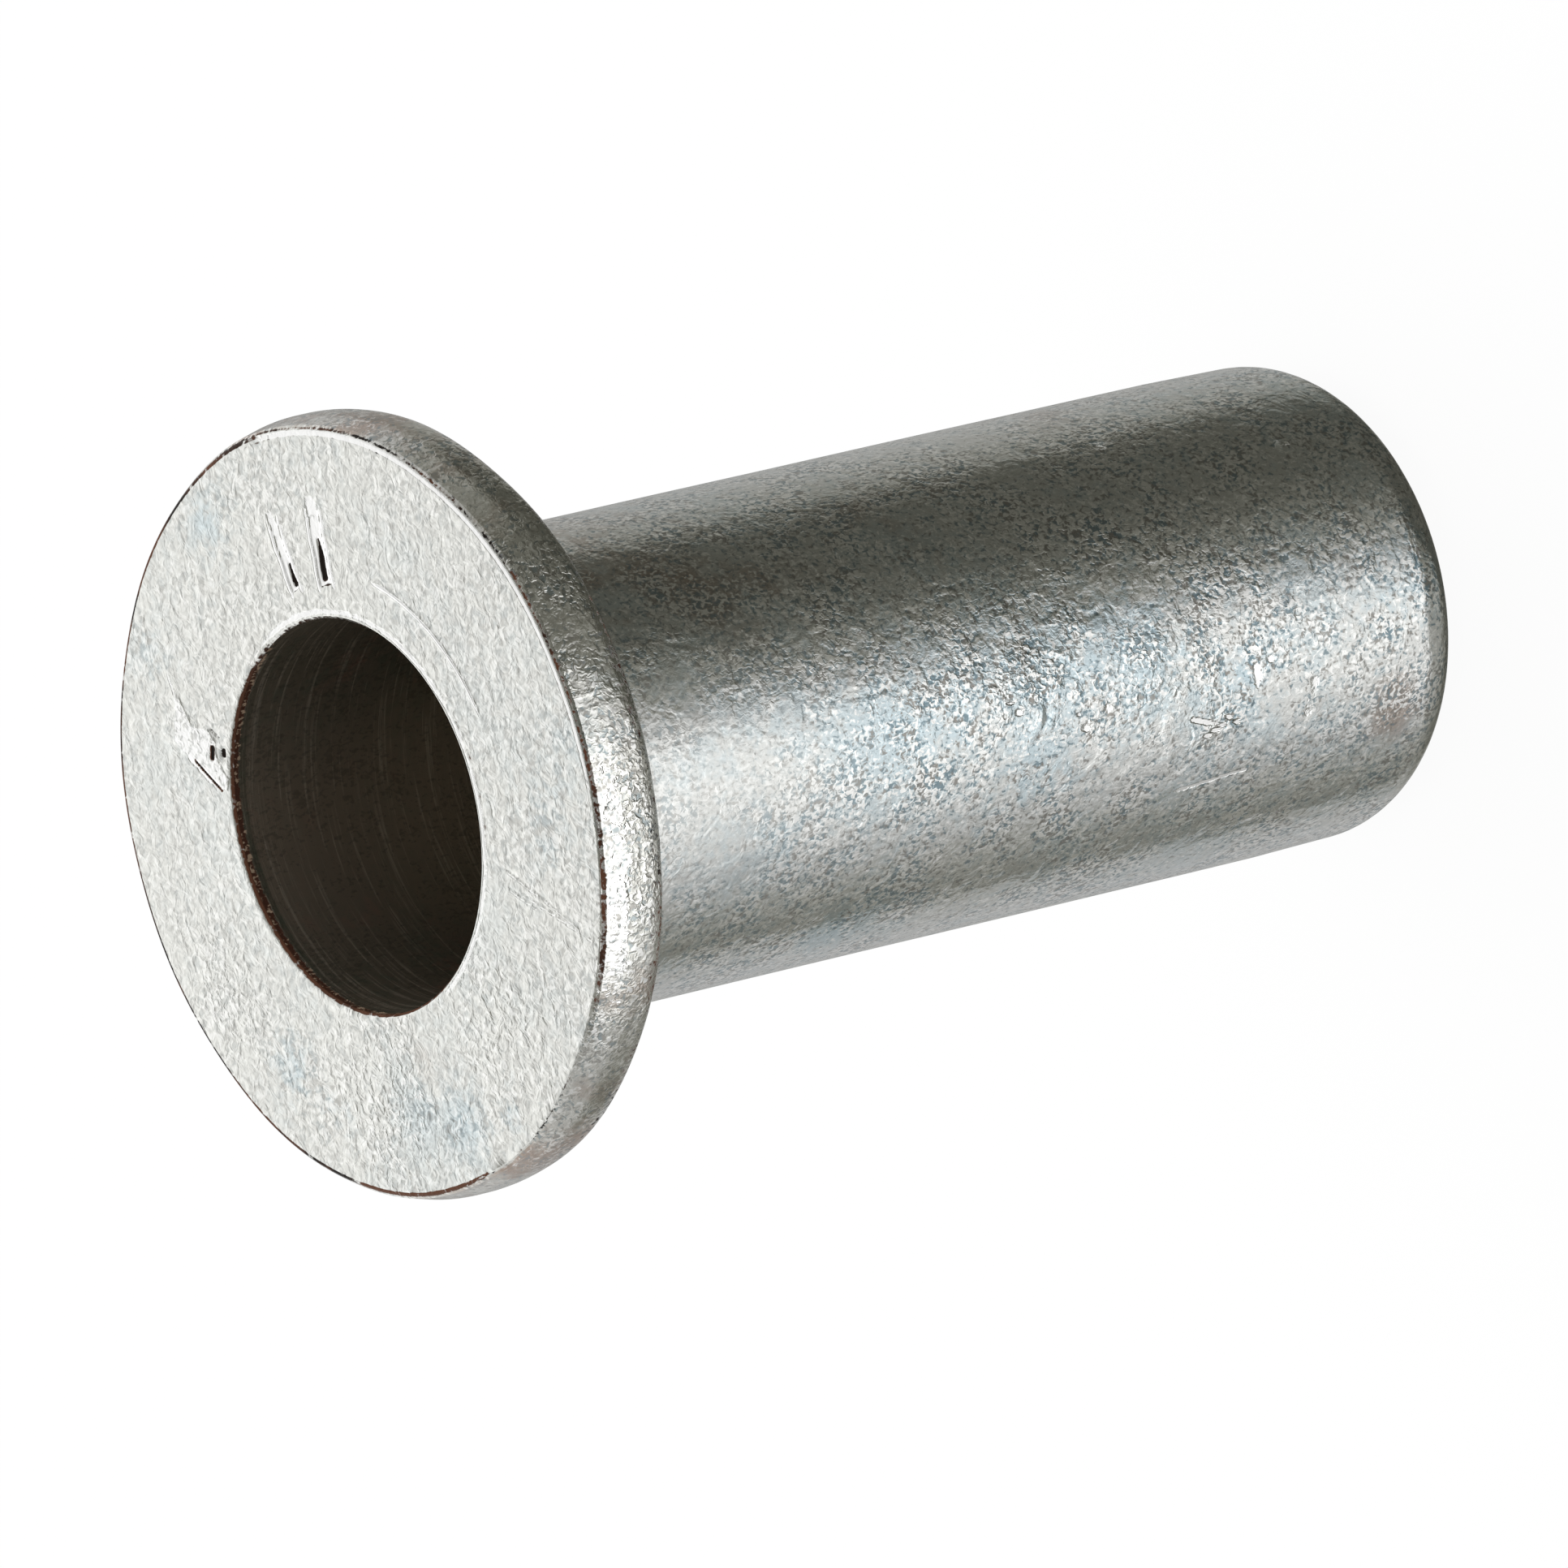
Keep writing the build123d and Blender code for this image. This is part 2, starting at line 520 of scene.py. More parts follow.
def glint_patch(x, y, z):
    """The part of the barrel's front with painted glints, and a spot round each lone speck."""
    turn = np.degrees(np.arctan2(-x, -y))
    main = (z > 3.4) & (z < 11.3) & (turn > -5) & (turn < 44)
    dots = np.hypot((turn + 51.5) / 12.7, z - 6.32) < 0.45
    dots |= np.hypot((turn + 38.5) / 12.7, z - 2.76) < 0.45
    return (np.hypot(x, y) > SHANK_RADIUS - 0.4) & (main | dots)


PATCHES = [
    (lip_patch, 1), (edge_patch, 1), (tick_patch, 3), (nick_patch, 3), (ridge_patch, 3), (glint_patch, 2),
    (scratch_patch, 3),
]
refine(skin, PATCHES)
print("points after refining", len(skin.vertices))

# %% [markdown]
# ## Marks pressed and scraped into the head
# The face shows how the nut was made and handled. A punch left two short radial ticks by the mouth, deep
# at the inner end and with a raised lip each side; their deep slots are painted dark as shade, and their
# lips and floors carry a painted highlight. Nearby are a scraped nick with a bright burr, the faint ridge a
# tool left round the mouth, a few scratches and a chipped edge. Sculpting by hand would do, but a height
# written as a function is the same on every run. Each mark also notes where the colour is darkened, for
# grime in some places and painted shade in others, and where it is brightened, for rubbed metal in some
# places and painted highlights and glints in others, and the materials read both numbers.

# %% Marks as heights
face_spots = np.empty(len(skin.vertices) * 3)
skin.vertices.foreach_get("co", face_spots)
face_spots = face_spots.reshape(-1, 3) / MM
px = face_spots[:, 0]
py = face_spots[:, 1]
pz = face_spots[:, 2]
far = np.hypot(px, py)
bearing = np.degrees(np.arctan2(py, px))
lift = np.zeros(len(px))
grime_and_shade = np.zeros(len(px))
shine = np.zeros(len(px))
flat_top = on_face(px, py, pz)


def ease(value):
    """0 to 1 with soft ends."""
    value = np.clip(value, 0, 1)
    return value * value * (3 - 2 * value)


def near_line(distance, half_width):
    """1 on a line, fading softly to 0 on both sides of it."""
    return np.exp(-((distance / half_width) ** 2))


def darken(amount):
    """Darkens the colour wherever this is more than what is there: grime in some places, painted shade in
    others.
    """
    grime_and_shade[:] = np.maximum(grime_and_shade, amount)


def brighten(amount):
    """Brightens the metal wherever this is more than what is there: rubbed metal in some places, painted
    highlights and glints in others.
    """
    shine[:] = np.maximum(shine, amount)


def between_ends(run, length, over, fade):
    """1 along a stroke, fading to 0 a little way past its ends."""
    return ease((run * length + over) / fade) * ease(((1 - run) * length + over) / fade)


def run_and_side(start, end):
    """Distance along a stroke as 0 to 1, and sideways in mm, for every point."""
    line = np.array(end) - np.array(start)
    length = np.linalg.norm(line)
    line = line / length
    along_line = (px - start[0]) * line[0] + (py - start[1]) * line[1]
    sideways = (px - start[0]) * line[1] - (py - start[1]) * line[0]
    return along_line / length, sideways, length


def punch(start, end, width, depth, lip, core, core_depth):
    """A shallow dent with painted highlight and raised lips. Its core is a deep slot, painted dark as
    shade: aside, half width, from, to.
    """
    run, side, length = run_and_side(start, end)
    ends = ease(run * length / 0.30) * ease((1 - run) * length / 0.06)
    side = side + 0.010 * np.sin(run * 17 + start[1] * 5)
    within = ease((width / 2 - np.abs(side)) / 0.05)
    lift[:] -= depth * (0.3 + 0.7 * np.clip(run, 0, 1)) * within * ends * flat_top
    rims = near_line(np.abs(side) - width / 2 - 0.03, 0.045)
    around = ease((run * length - 0.1) / 0.5) * ease(((1 - run) * length + 0.12) / 0.1)
    foot = near_line((1 - run) * length + 0.05, 0.05) * ease((width / 2 + 0.08 - np.abs(side)) / 0.1)
    lift[:] += lip * np.maximum(rims * around, foot) * flat_top
    aside, half, begin, stop = core
    tapered = half * (0.35 + 0.65 * ease((run - begin) / 0.25))
    slot = np.exp(-((side - aside) / tapered) ** 4) * ease((run - begin) / 0.04) * ease((stop - run) / 0.04)
    lift[:] -= core_depth * near_line(side - aside, tapered) * slot * flat_top
    # the slot is painted dark as the shade inside it
    darken(ease(slot * 2.4) * flat_top)
    # painted shade at the dent's deep end
    deep_end_shade = near_line((1 - run) * length - 0.02, 0.022) * ease((width / 2 - np.abs(side)) / 0.05)
    darken(0.62 * deep_end_shade * flat_top)
    # painted highlight on the lips and the dent's floor
    inner = within * ends * (0.60 + 0.40 * ease((run - begin + 0.15) / 0.1))
    glow = np.maximum(rims * around, inner) * (1 - slot)
    brighten(glow * flat_top)


def burr_patch(corners, height, glow):
    """A torn bright patch: inside a row of corners, raised and scuffed."""
    spots = np.array(corners)
    inside = np.zeros(len(px), bool)
    nearest = np.full(len(px), 9.0)
    for a, b in zip(spots, np.roll(spots, -1, 0)):
        step = b - a
        part = np.clip(((px - a[0]) * step[0] + (py - a[1]) * step[1]) / (step @ step), 0, 1)
        nearest = np.minimum(nearest, np.hypot(px - a[0] - part * step[0], py - a[1] - part * step[1]))
        crosses = (a[1] > py) != (b[1] > py)
        at_x = a[0] + (py - a[1]) * step[0] / (step[1] if step[1] else 1e-9)
        inside ^= crosses & (px < at_x)
    depth_in = np.where(inside, nearest, -nearest)
    mask = ease((depth_in + 0.03) / 0.07) * flat_top
    lift[:] += height * mask
    brighten(glow * mask)


def slit(start, end, half, depth, dark):
    """A thin cut, painted dark as the shade inside it."""
    run, side, length = run_and_side(start, end)
    band = np.exp(-(side / half) ** 4) * between_ends(run, length, 0.02, 0.06)
    lift[:] -= depth * band * near_line(side, half) * flat_top
    # painted shade inside the cut
    darken(dark * ease(band * 2) * flat_top)


def ridge(start, end, width, height, glow=0.6):
    """A thin raised or scraped line."""
    run, side, length = run_and_side(start, end)
    band = near_line(side, width) * between_ends(run, length, 0.05, 0.15)
    lift[:] += height * band * flat_top
    brighten(glow * band * flat_top)


punch((5.76, 0.60), (4.15, 0.18), 0.26, 0.007, 0.006, (-0.070, 0.060, 0.68, 0.965), 0.035)
punch((5.86, -0.74), (4.11, -0.73), 0.37, 0.008, 0.006, (-0.020, 0.070, 0.50, 0.955), 0.040)
print("deepest mark", round(lift.min(), 3), "mm, highest lip", round(lift.max(), 3), "mm")

# %% [markdown]
# The nick is a torn patch, raised a little and scuffed, with four short cuts at its edges, painted dark
# as the shade inside them. Each of the three scratches is a pair: a fine cut, lightly darkened as painted
# shade, with a bright ridge beside it, as a hard point leaves when it ploughs soft zinc. Two more are
# single lines, one sunk and one raised.

# %% The nick and the scratches
burr_patch(
    [
        (2.78, 4.50), (2.49, 4.38), (2.25, 4.28), (2.13, 3.80), (1.88, 3.64), (1.71, 3.70),
        (1.45, 3.66), (1.18, 3.48), (0.99, 3.60), (1.02, 3.82), (1.64, 4.46), (1.77, 4.66),
        (2.04, 4.94), (2.30, 4.84), (2.56, 4.70), (2.82, 4.66),
    ],
    0.016,
    0.48,
)
ridge((1.06, 3.80), (1.78, 4.60), 0.10, 0.002, 0.9)
ridge((1.85, 4.55), (2.20, 4.55), 0.12, 0.002, 0.8)
ridge((3.30, 4.72), (2.70, 4.60), 0.05, 0.006, 0.5)
slit((1.64, 4.40), (1.00, 3.74), 0.030, 0.03, 1.0)
slit((2.14, 3.72), (1.94, 3.48), 0.025, 0.02, 0.50)
slit((1.84, 3.735), (1.58, 3.840), 0.060, 0.03, 1.0)
slit((1.74, 3.44), (1.58, 3.465), 0.055, 0.03, 1.0)
SCRATCHES = [
    ((-1.52, -4.05), (-3.25, -6.10)), ((-2.00, -4.30), (-3.00, -5.75)), ((-1.85, -4.00), (-2.40, -4.70)),
]
for start, end in SCRATCHES:
    slit(start, end, 0.030, 0.010, 0.20)
    ridge((start[0] - 0.05, start[1] + 0.03), (end[0] - 0.05, end[1] + 0.03), 0.030, 0.005, 0.45)
ridge((-1.43, -5.30), (-1.93, -4.96), 0.030, -0.008, 0.35)
ridge((3.10, -3.10), (2.45, -4.35), 0.030, 0.008, 0.30)
print("scratches in pairs", len(SCRATCHES))

# %% [markdown]
# Short bright strokes on the barrel are painted glints, with two lone specks away from the rest. They add
# no height.

# %% Scuffs on the barrel
around_barrel = radians(1) * np.degrees(np.arctan2(-px, -py)) * SHANK_RADIUS
on_barrel = (pz < HEAD_UNDERSIDE - 1) & (far > SHANK_RADIUS - 0.4)


def barrel_glint(start, end, half):
    """A short painted glint on the barrel, between two (turn in degrees, height in mm) spots."""
    begin = np.array([radians(start[0]) * SHANK_RADIUS, start[1]])
    line = np.array([radians(end[0]) * SHANK_RADIUS, end[1]]) - begin
    part = ((around_barrel - begin[0]) * line[0] + (pz - begin[1]) * line[1]) / (line @ line)
    part = np.clip(part, 0, 1)
    away = np.hypot(around_barrel - begin[0] - part * line[0], pz - begin[1] - part * line[1])
    brighten(near_line(away, half) * on_barrel)


BARREL_GLINTS = [
    ((20.0, 3.88), (28.0, 3.96), 0.075), ((13.5, 5.20), (18.5, 5.14), 0.060),
    ((14.7, 8.77), (21.5, 8.80), 0.050), ((15.2, 9.38), (19.5, 9.21), 0.045),
    ((23.0, 6.70), (25.0, 6.25), 0.055), ((26.0, 6.05), (28.0, 6.40), 0.050),
    ((24.0, 5.90), (26.0, 5.70), 0.045), ((40.9, 6.87), (39.2, 5.30), 0.035),
    ((10.8, 4.95), (13.0, 4.85), 0.050), ((9.0, 10.90), (12.5, 10.70), 0.045),
    ((-51.7, 6.28), (-51.0, 6.36), 0.060), ((-38.8, 2.74), (-38.2, 2.78), 0.060),
]
for start, end, half in BARREL_GLINTS:
    barrel_glint(start, end, half)
print("painted_glints", len(BARREL_GLINTS))

# %% [markdown]
# A facing tool left a faint raised ring part of the way round the mouth. The drill pushed up a burr just
# outside the mouth's edge, with a painted highlight on it except on one side, and on the other side a fine
# line of painted shade lies outside it. The head's edge has one small chip.

# %% The tool's ring, the mouth burr and the chip
RING_RADIUS = 4.475
on_ridge = ease((bearing + 78) / 8) * ease((-25 - bearing) / 5)
tool_ring = near_line(far - RING_RADIUS, 0.035) * on_ridge
inner_step = ease((RING_RADIUS - far) / 0.10) * on_ridge * ease((far - 4.1) / 0.3)
lift += flat_top * (0.018 * tool_ring - 0.006 * inner_step)
brighten(0.95 * tool_ring * flat_top)

wobble = 0.6 + 0.25 * np.sin(radians(1) * bearing * 7 + 1.0) + 0.15 * np.sin(radians(1) * bearing * 23)
BURR_RADIUS = MOUTH_RADIUS + 0.13
burr = near_line(far - BURR_RADIUS, 0.05) * flat_top
lift += 0.010 * burr * wobble
left_wall = ease((105 - np.abs((bearing - 118 + 180) % 360 - 180)) / 40)
# painted highlight on the burr, mostly left out on one side
brighten(burr * (0.5 + 0.5 * wobble) * (1 - 0.9 * left_wall))

# a thin line of painted shade just outside the burr, not on that side
SHADE_RING_RADIUS = MOUTH_RADIUS + 0.205
burr_shade_line = near_line(far - SHADE_RING_RADIUS, 0.022) * flat_top * (1 - left_wall)
darken(0.40 * burr_shade_line)
lift -= 0.004 * burr_shade_line

CHIP_SPOT = (-6.80, -1.95)
chip = near_line(np.hypot(px - CHIP_SPOT[0], py - CHIP_SPOT[1]), 0.20) * (pz > HEIGHT - 0.8)
lift -= 0.10 * chip
print("deepest mark", round(lift.min(), 3), "mm, highest lip", round(lift.max(), 3), "mm")

# %% [markdown]
# The same numbers take in what sits at the edges. A highlight is painted along the face's front edge, with
# a painted shadow line just inside it, and a painted highlight band lies on one stretch of the head's side.
# Dark lines round the front edge are partly painted dark reflection and partly grime, and the bevel is
# lighter on the lower stretch. Painted shade lies along the front edge on the rear stretch, at the head's
# rear corner and neck, and round the foot. Grime lies round the mouth. The bore is rusty by the mouth, and
# lighter on one side.

# %% What sits at the edges
edge_turns = np.linspace(-180, 180, 97)
edge_mood = np.interp(bearing, edge_turns, np.random.default_rng(7).random(97))
upper = ease((bearing + 98) / 10) * ease((24 - bearing) / 16)
lower = ease((-86 - bearing) / 10) * ease((bearing + 140) / 22)
rear = ease((bearing + 6) / 16) + ease((-160 - bearing) / 15)
face_rim = HEAD_RADIUS - FACE_EDGE
# painted highlight along the face's front edge, strongest on the upper stretch and faint on the rear
front = ease((far - face_rim + 0.13) / 0.05) * ease((face_rim + 0.01 - far) / 0.02) * (pz > HEIGHT - 0.05)
brighten(front * (0.25 + 0.75 * upper) * (0.75 + 0.25 * edge_mood) * (1 - 0.9 * rear))
# painted shadow: a thin grey line just inside that highlight, on the upper stretch
inner_shadow_line = near_line(far - (face_rim - 0.105), 0.020) * (pz > HEIGHT - 0.1)
darken(0.40 * inner_shadow_line * upper)
# the bevel is darkened, partly as painted dark reflection and partly as grime, and lighter on the lower
# stretch
bevel = ease((far - face_rim) / 0.02) * (pz > HEIGHT - 0.3) * ease((pz - HEIGHT + 0.13) / 0.06)
darken(bevel * (0.30 * upper + lower * (0.46 + 0.16 * edge_mood)))
brighten(bevel * lower * (0.30 + 0.20 * edge_mood))
# edge_line, wide_band and tail_line: dark lines round the front edge, partly painted dark reflection and
# partly grime
edge_line = near_line(far - face_rim - 0.030, 0.030) * (pz > HEIGHT - 0.2) * (upper + lower)
darken(edge_line * (0.50 + 0.16 * edge_mood))
wide_band = near_line(far - face_rim + 0.03, 0.06) * (pz > HEIGHT - 0.1) * lower
darken(wide_band * (0.16 + 0.24 * edge_mood))
# painted shade: a dark band along the front edge on the rear stretch
rear_shade_band = ease((far - (face_rim - 0.062)) / 0.022) * ease((face_rim + 0.05 - far) / 0.02)
rear_shade_band = rear_shade_band * (pz > HEIGHT - 0.3)
darken(rear_shade_band * rear * (0.66 + 0.12 * edge_mood))
tail = ease((-128 - bearing) / 10) * ease((bearing + 178) / 20)
tail_line = near_line(far - face_rim - 0.01, 0.03) * (pz > HEIGHT - 0.2)
darken(tail_line * tail * (0.30 + 0.20 * edge_mood))
on_rim = (far > HEAD_RADIUS - 0.30) & (pz > HEAD_UNDERSIDE)
facing = ease((-80 - bearing) / 12) * ease((bearing + 136) / 16)
# painted highlight: a bright band on one stretch of the head's side
rim_highlight = ease((pz - HEIGHT + 0.66) / 0.22) * ease((HEIGHT - 0.06 - pz) / 0.03) * facing * on_rim
brighten((0.34 + 0.16 * edge_mood) * rim_highlight)
rear_specks = ease((HEIGHT - 0.80 - pz) / 0.30) * ease((-62 - bearing) / 14) * on_rim
darken(0.37 * rear_specks)
# painted shade: a dark line round the foot's rounded corner, where it meets the floor
foot_shade_line = near_line(pz - 0.25, 0.075) * (far > 3.2)
darken(foot_shade_line * (0.44 + 0.25 * edge_mood))
mouth_line = ease((MOUTH_RADIUS + 0.062 - far) / 0.030) * (pz > HEIGHT - 0.3)
darken((0.42 + 0.26 * left_wall + 0.12 * edge_mood) * mouth_line)
rust = ease((pz - HEIGHT + 0.24) / 0.14) * (far < MOUTH_RADIUS + 0.2) * (0.35 + 0.65 * left_wall)
rust = rust * (0.65 + 0.35 * edge_mood)
# painted shade at the head's rear corner
back_corner_shade = near_line(np.hypot(far - HEAD_RADIUS + 0.08, pz - HEAD_UNDERSIDE - 0.24), 0.10)
darken((0.34 + 0.26 * edge_mood) * back_corner_shade)
# the bore's wall is made lighter on one side
lighter_side = ease((62 - np.abs(bearing - 92)) / 50) * (pz > MOUTH_FLOOR) * (pz < HEIGHT - 0.3)
brighten(lighter_side * (far < MOUTH_RADIUS + 0.01))
# painted shade in the corner under the head
neck_shade = near_line(np.hypot(far - SHANK_RADIUS - 0.05, pz - HEAD_UNDERSIDE + 0.05), 0.18)
darken(0.7 * neck_shade)
print("darkened points", int((grime_and_shade > 0.4).sum()), "bright points", int((shine > 0.4).sum()))

# %% [markdown]
# Cold forming left the head a hair to one side of the barrel and not quite round, so its points are moved.
# The barrel and the bore stay on the axis.

# %% Set the head aside
HEAD_ASIDE = (0.06, -0.12)
leaning = ease((far - SHANK_RADIUS) / (HEAD_RADIUS - SHANK_RADIUS)) * (pz > HEAD_UNDERSIDE - 0.4)
leaning = np.maximum(leaning, ease((far - MOUTH_RADIUS - 0.1) / 2.5) * (pz > HEIGHT - 0.5))
out_of_round = 0.020 * np.sin(radians(1) * (5 * bearing + 50)) + 0.014 * np.sin(radians(1) * 11 * bearing)
out_of_round = 1 + out_of_round * ease((far - HEAD_RADIUS + 0.5) / 0.4) / HEAD_RADIUS
for axis in range(2):
    face_spots[:, axis] = face_spots[:, axis] * out_of_round + HEAD_ASIDE[axis] * leaning
print("head set aside by", round(float(np.hypot(*HEAD_ASIDE)), 2), "mm")

# %% [markdown]
# The dip stained some places blue and others tan. Some places get more painted glints and relief than the
# rest, and calm places fewer flecks.
# Noise alone can't put a stain where it is wanted, so soft spots are placed and the noise breaks them up.

# %% Placed stains and sparkle
def dab(turn, height, size, radius=SHANK_RADIUS, stretch=1.0):
    """A soft spot on the outside, placed by its turn from the front (degrees) and its height (mm)."""
    x = -radius * np.sin(radians(turn))
    y = -radius * np.cos(radians(turn))
    round_it = (px - x) ** 2 + (py - y) ** 2
    return np.exp(-(round_it + ((pz - height) / stretch) ** 2) / size**2)


def rim_dab(turn, height, size):
    """A soft spot on the rim that doesn't reach over onto the face."""
    return dab(turn, height, size, HEAD_RADIUS) * (pz < HEIGHT - 0.04)


def on_top(x, y, size):
    """A soft spot on the face, in mm from its middle."""
    return np.exp(-((px - x) ** 2 + (py - y) ** 2) / size**2) * (pz > HEIGHT - 0.4)


def heaped(spots):
    """The strongest of several soft spots at each point."""
    total = np.zeros(len(px))
    for spot in spots:
        total = np.maximum(total, spot)
    return total


blue = heaped(
    [
        0.8 * dab(8, 13.0, 1.6, stretch=1.6), 0.8 * dab(4, 8.5, 1.9, stretch=2.0), dab(12, 5.5, 1.2),
        0.8 * dab(24, 10.5, 1.2), 0.8 * dab(6, 1.6, 1.0), 0.9 * dab(62, 14.2, 0.7),
        0.5 * dab(-7, 11.0, 1.2), 0.5 * dab(26, 16.0, 1.0),
        0.8 * on_top(5.78, 2.4, 0.6), 0.8 * on_top(-4.17, 3.53, 0.6), 0.6 * on_top(-5.5, 0.1, 0.7),
        0.9 * on_top(-5.79, -1.07, 0.7), 0.7 * on_top(-5.8, -2.6, 0.4), 0.4 * on_top(-1.4, -5.4, 0.4),
        0.4 * on_top(-0.5, -5.9, 0.9), 0.4 * on_top(3.67, 5.0, 0.6),
        0.4 * on_top(0.4, -6.9, 0.6), 0.6 * on_top(-4.9, 2.6, 0.6), 0.4 * rim_dab(-12, 21.6, 0.5),
    ]
)
brown = heaped(
    [
        dab(-40, 17.0, 1.6), 0.9 * dab(-50, 18.8, 1.5), 0.8 * dab(-70, 17.5, 1.8),
        0.7 * dab(-30, 15.4, 1.2), 0.5 * dab(-45, 12.5, 1.6), 0.8 * dab(-85, 19.5, 2.0),
        0.7 * dab(-55, 20.2, 0.9), 0.6 * dab(-64, 17.5, 1.2), 0.7 * dab(-84, 6.0, 1.8),
        dab(32, 1.9, 0.8), 0.5 * dab(2, 20.2, 0.8),
        rim_dab(-95, 21.8, 1.8), rim_dab(-75, 21.8, 1.6), 0.9 * rim_dab(-55, 22.0, 1.2),
        0.5 * rim_dab(-35, 22.0, 1.0), rim_dab(72, 21.8, 2.0), 0.7 * rim_dab(92, 21.8, 1.6),
        0.5 * rim_dab(35, 21.5, 1.2), 0.5 * on_top(5.2, 1.46, 0.35), 0.4 * on_top(-4.6, -0.3, 0.5),
        0.4 * on_top(-5.3, 2.8, 0.4),
    ]
)
# sparkle: more painted glints, as light flecks, and stronger relief
sparkle = heaped(
    [
        rim_dab(-9, 21.65, 0.30), rim_dab(-5, 21.38, 0.25), rim_dab(-14, 22.3, 0.30),
        0.7 * rim_dab(-12, 22.0, 0.5), rim_dab(8, 21.8, 1.0), rim_dab(20, 21.5, 1.2),
        0.8 * rim_dab(34, 21.8, 1.4), 0.6 * rim_dab(-30, 21.9, 1.5),
        dab(-28, 18.05, 0.12), dab(-24.7, 17.7, 0.16), 0.8 * dab(-21.5, 18.4, 0.3), dab(-20.6, 17.5, 0.25),
        dab(-38.5, 16.85, 0.12), dab(-13.1, 18.0, 0.12), dab(-51.8, 6.3, 0.09), dab(-38.7, 2.85, 0.10),
        dab(-17.7, 9.1, 0.16), dab(-13.1, 8.74, 0.12), 0.7 * dab(-4, 9.5, 0.9), 0.8 * dab(6, 10.5, 1.2),
        0.8 * dab(25.8, 6.2, 0.5), 0.7 * dab(14, 7.2, 1.4), 0.40 * dab(-8, 10.0, 2.2, stretch=2.6),
        0.35 * dab(10, 9.0, 2.4, stretch=2.4), 0.25 * dab(-20, 14.0, 2.0), 0.5 * on_top(-5.0, 1.0, 1.3),
        0.4 * on_top(-4.2, -2.8, 1.2), 0.3 * on_top(-2.5, 5.0, 1.0),
    ]
)
calm = heaped([0.9 * dab(12, 17.6, 2.2, stretch=1.2), 0.5 * dab(2, 19.0, 2.0), 0.5 * dab(8, 7.6, 0.8)])
print("placed tints: blue", round(blue.max(), 2), "brown", round(brown.max(), 2))

# %% [markdown]
# Last, the heights go into the points and the numbers onto the mesh, where the materials read them.

# %% The finished skin
face_spots[:, 2] += lift
skin.vertices.foreach_set("co", (face_spots * MM).ravel())
placed = {
    "grime_and_shade": grime_and_shade, "shine": shine, "rust": rust,
    "blue": blue, "brown": brown, "sparkle": sparkle, "calm": calm,
}
for name, values in placed.items():
    store_number(skin, name, values)
for name in ("zone", "turned_radius"):
    skin.attributes.remove(skin.attributes[name])
skin.update()
skin.validate()
nut = add_object("rivet_nut", skin)
print("triangles", sum(len(p.vertices) - 2 for p in skin.polygons))

# %% [markdown]
# ## Shader groups
# Every finish on this nut is built from the same few effects, so each effect is a group with its own
# inputs, used with other values in each material. `plating_grain` gives the leathery micro relief and the
# flecks of zinc, whose light flecks the zinc finishes paint as glints, `passivation` the faint blue and tan
# clouds of the clear chromate dip, and `tool_lines` the rings that a drill or a lathe tool leaves.

# %% Group helpers
def new_group(name, inputs, outputs):
    """An empty shader group with its sockets, its input node and its output node."""
    group = bpy.data.node_groups.new(name, "ShaderNodeTree")
    for label, kind, value in inputs:
        socket = group.interface.new_socket(label, in_out="INPUT", socket_type=kind)
        socket.default_value = value
    for label, kind in outputs:
        group.interface.new_socket(label, in_out="OUTPUT", socket_type=kind)
    return group, add_node(group, "NodeGroupInput"), add_node(group, "NodeGroupOutput")


def in_millimetres(tree):
    """The object's own coordinates, counted in millimetres."""
    place_on = add_node(tree, "ShaderNodeTexCoord")
    scale = add_node(tree, "ShaderNodeMapping", "metres to millimetres")
    scale.inputs["Scale"].default_value = (1000, 1000, 1000)
    tree.links.new(place_on.outputs["Object"], scale.inputs["Vector"])
    return scale.outputs[0]


def noise(tree, vector, scale, detail=2.0, roughness=0.5, distortion=0.0):
    """Perlin noise from 0 to 1."""
    made = add_node(tree, "ShaderNodeTexNoise")
    tree.links.new(vector, made.inputs["Vector"])
    feed(tree, made.inputs["Scale"], scale)
    feed(tree, made.inputs["Detail"], detail)
    feed(tree, made.inputs["Roughness"], roughness)
    feed(tree, made.inputs["Distortion"], distortion)
    return made.outputs[0]


def shifted(tree, vector, offset):
    """The same coordinates moved aside, so two patterns don't line up."""
    made = add_node(tree, "ShaderNodeVectorMath", operation="ADD")
    tree.links.new(vector, made.inputs[0])
    made.inputs[1].default_value = offset
    return made.outputs[0]


def ramp(tree, value, low, high):
    """A soft threshold: 0 below low, 1 above high."""
    made = add_node(tree, "ShaderNodeMapRange", interpolation_type="SMOOTHSTEP")
    feed(tree, made.inputs["Value"], value)
    feed(tree, made.inputs["From Min"], low)
    feed(tree, made.inputs["From Max"], high)
    return made.outputs[0]


def blend_colour(tree, factor, first, second):
    """A colour mix."""
    made = add_node(tree, "ShaderNodeMix", data_type="RGBA")
    feed(tree, made.inputs[0], factor)
    feed(tree, made.inputs[6], first)
    feed(tree, made.inputs[7], second)
    return made.outputs[2]


print("group helpers: new_group, in_millimetres, noise, shifted, ramp, blend_colour")

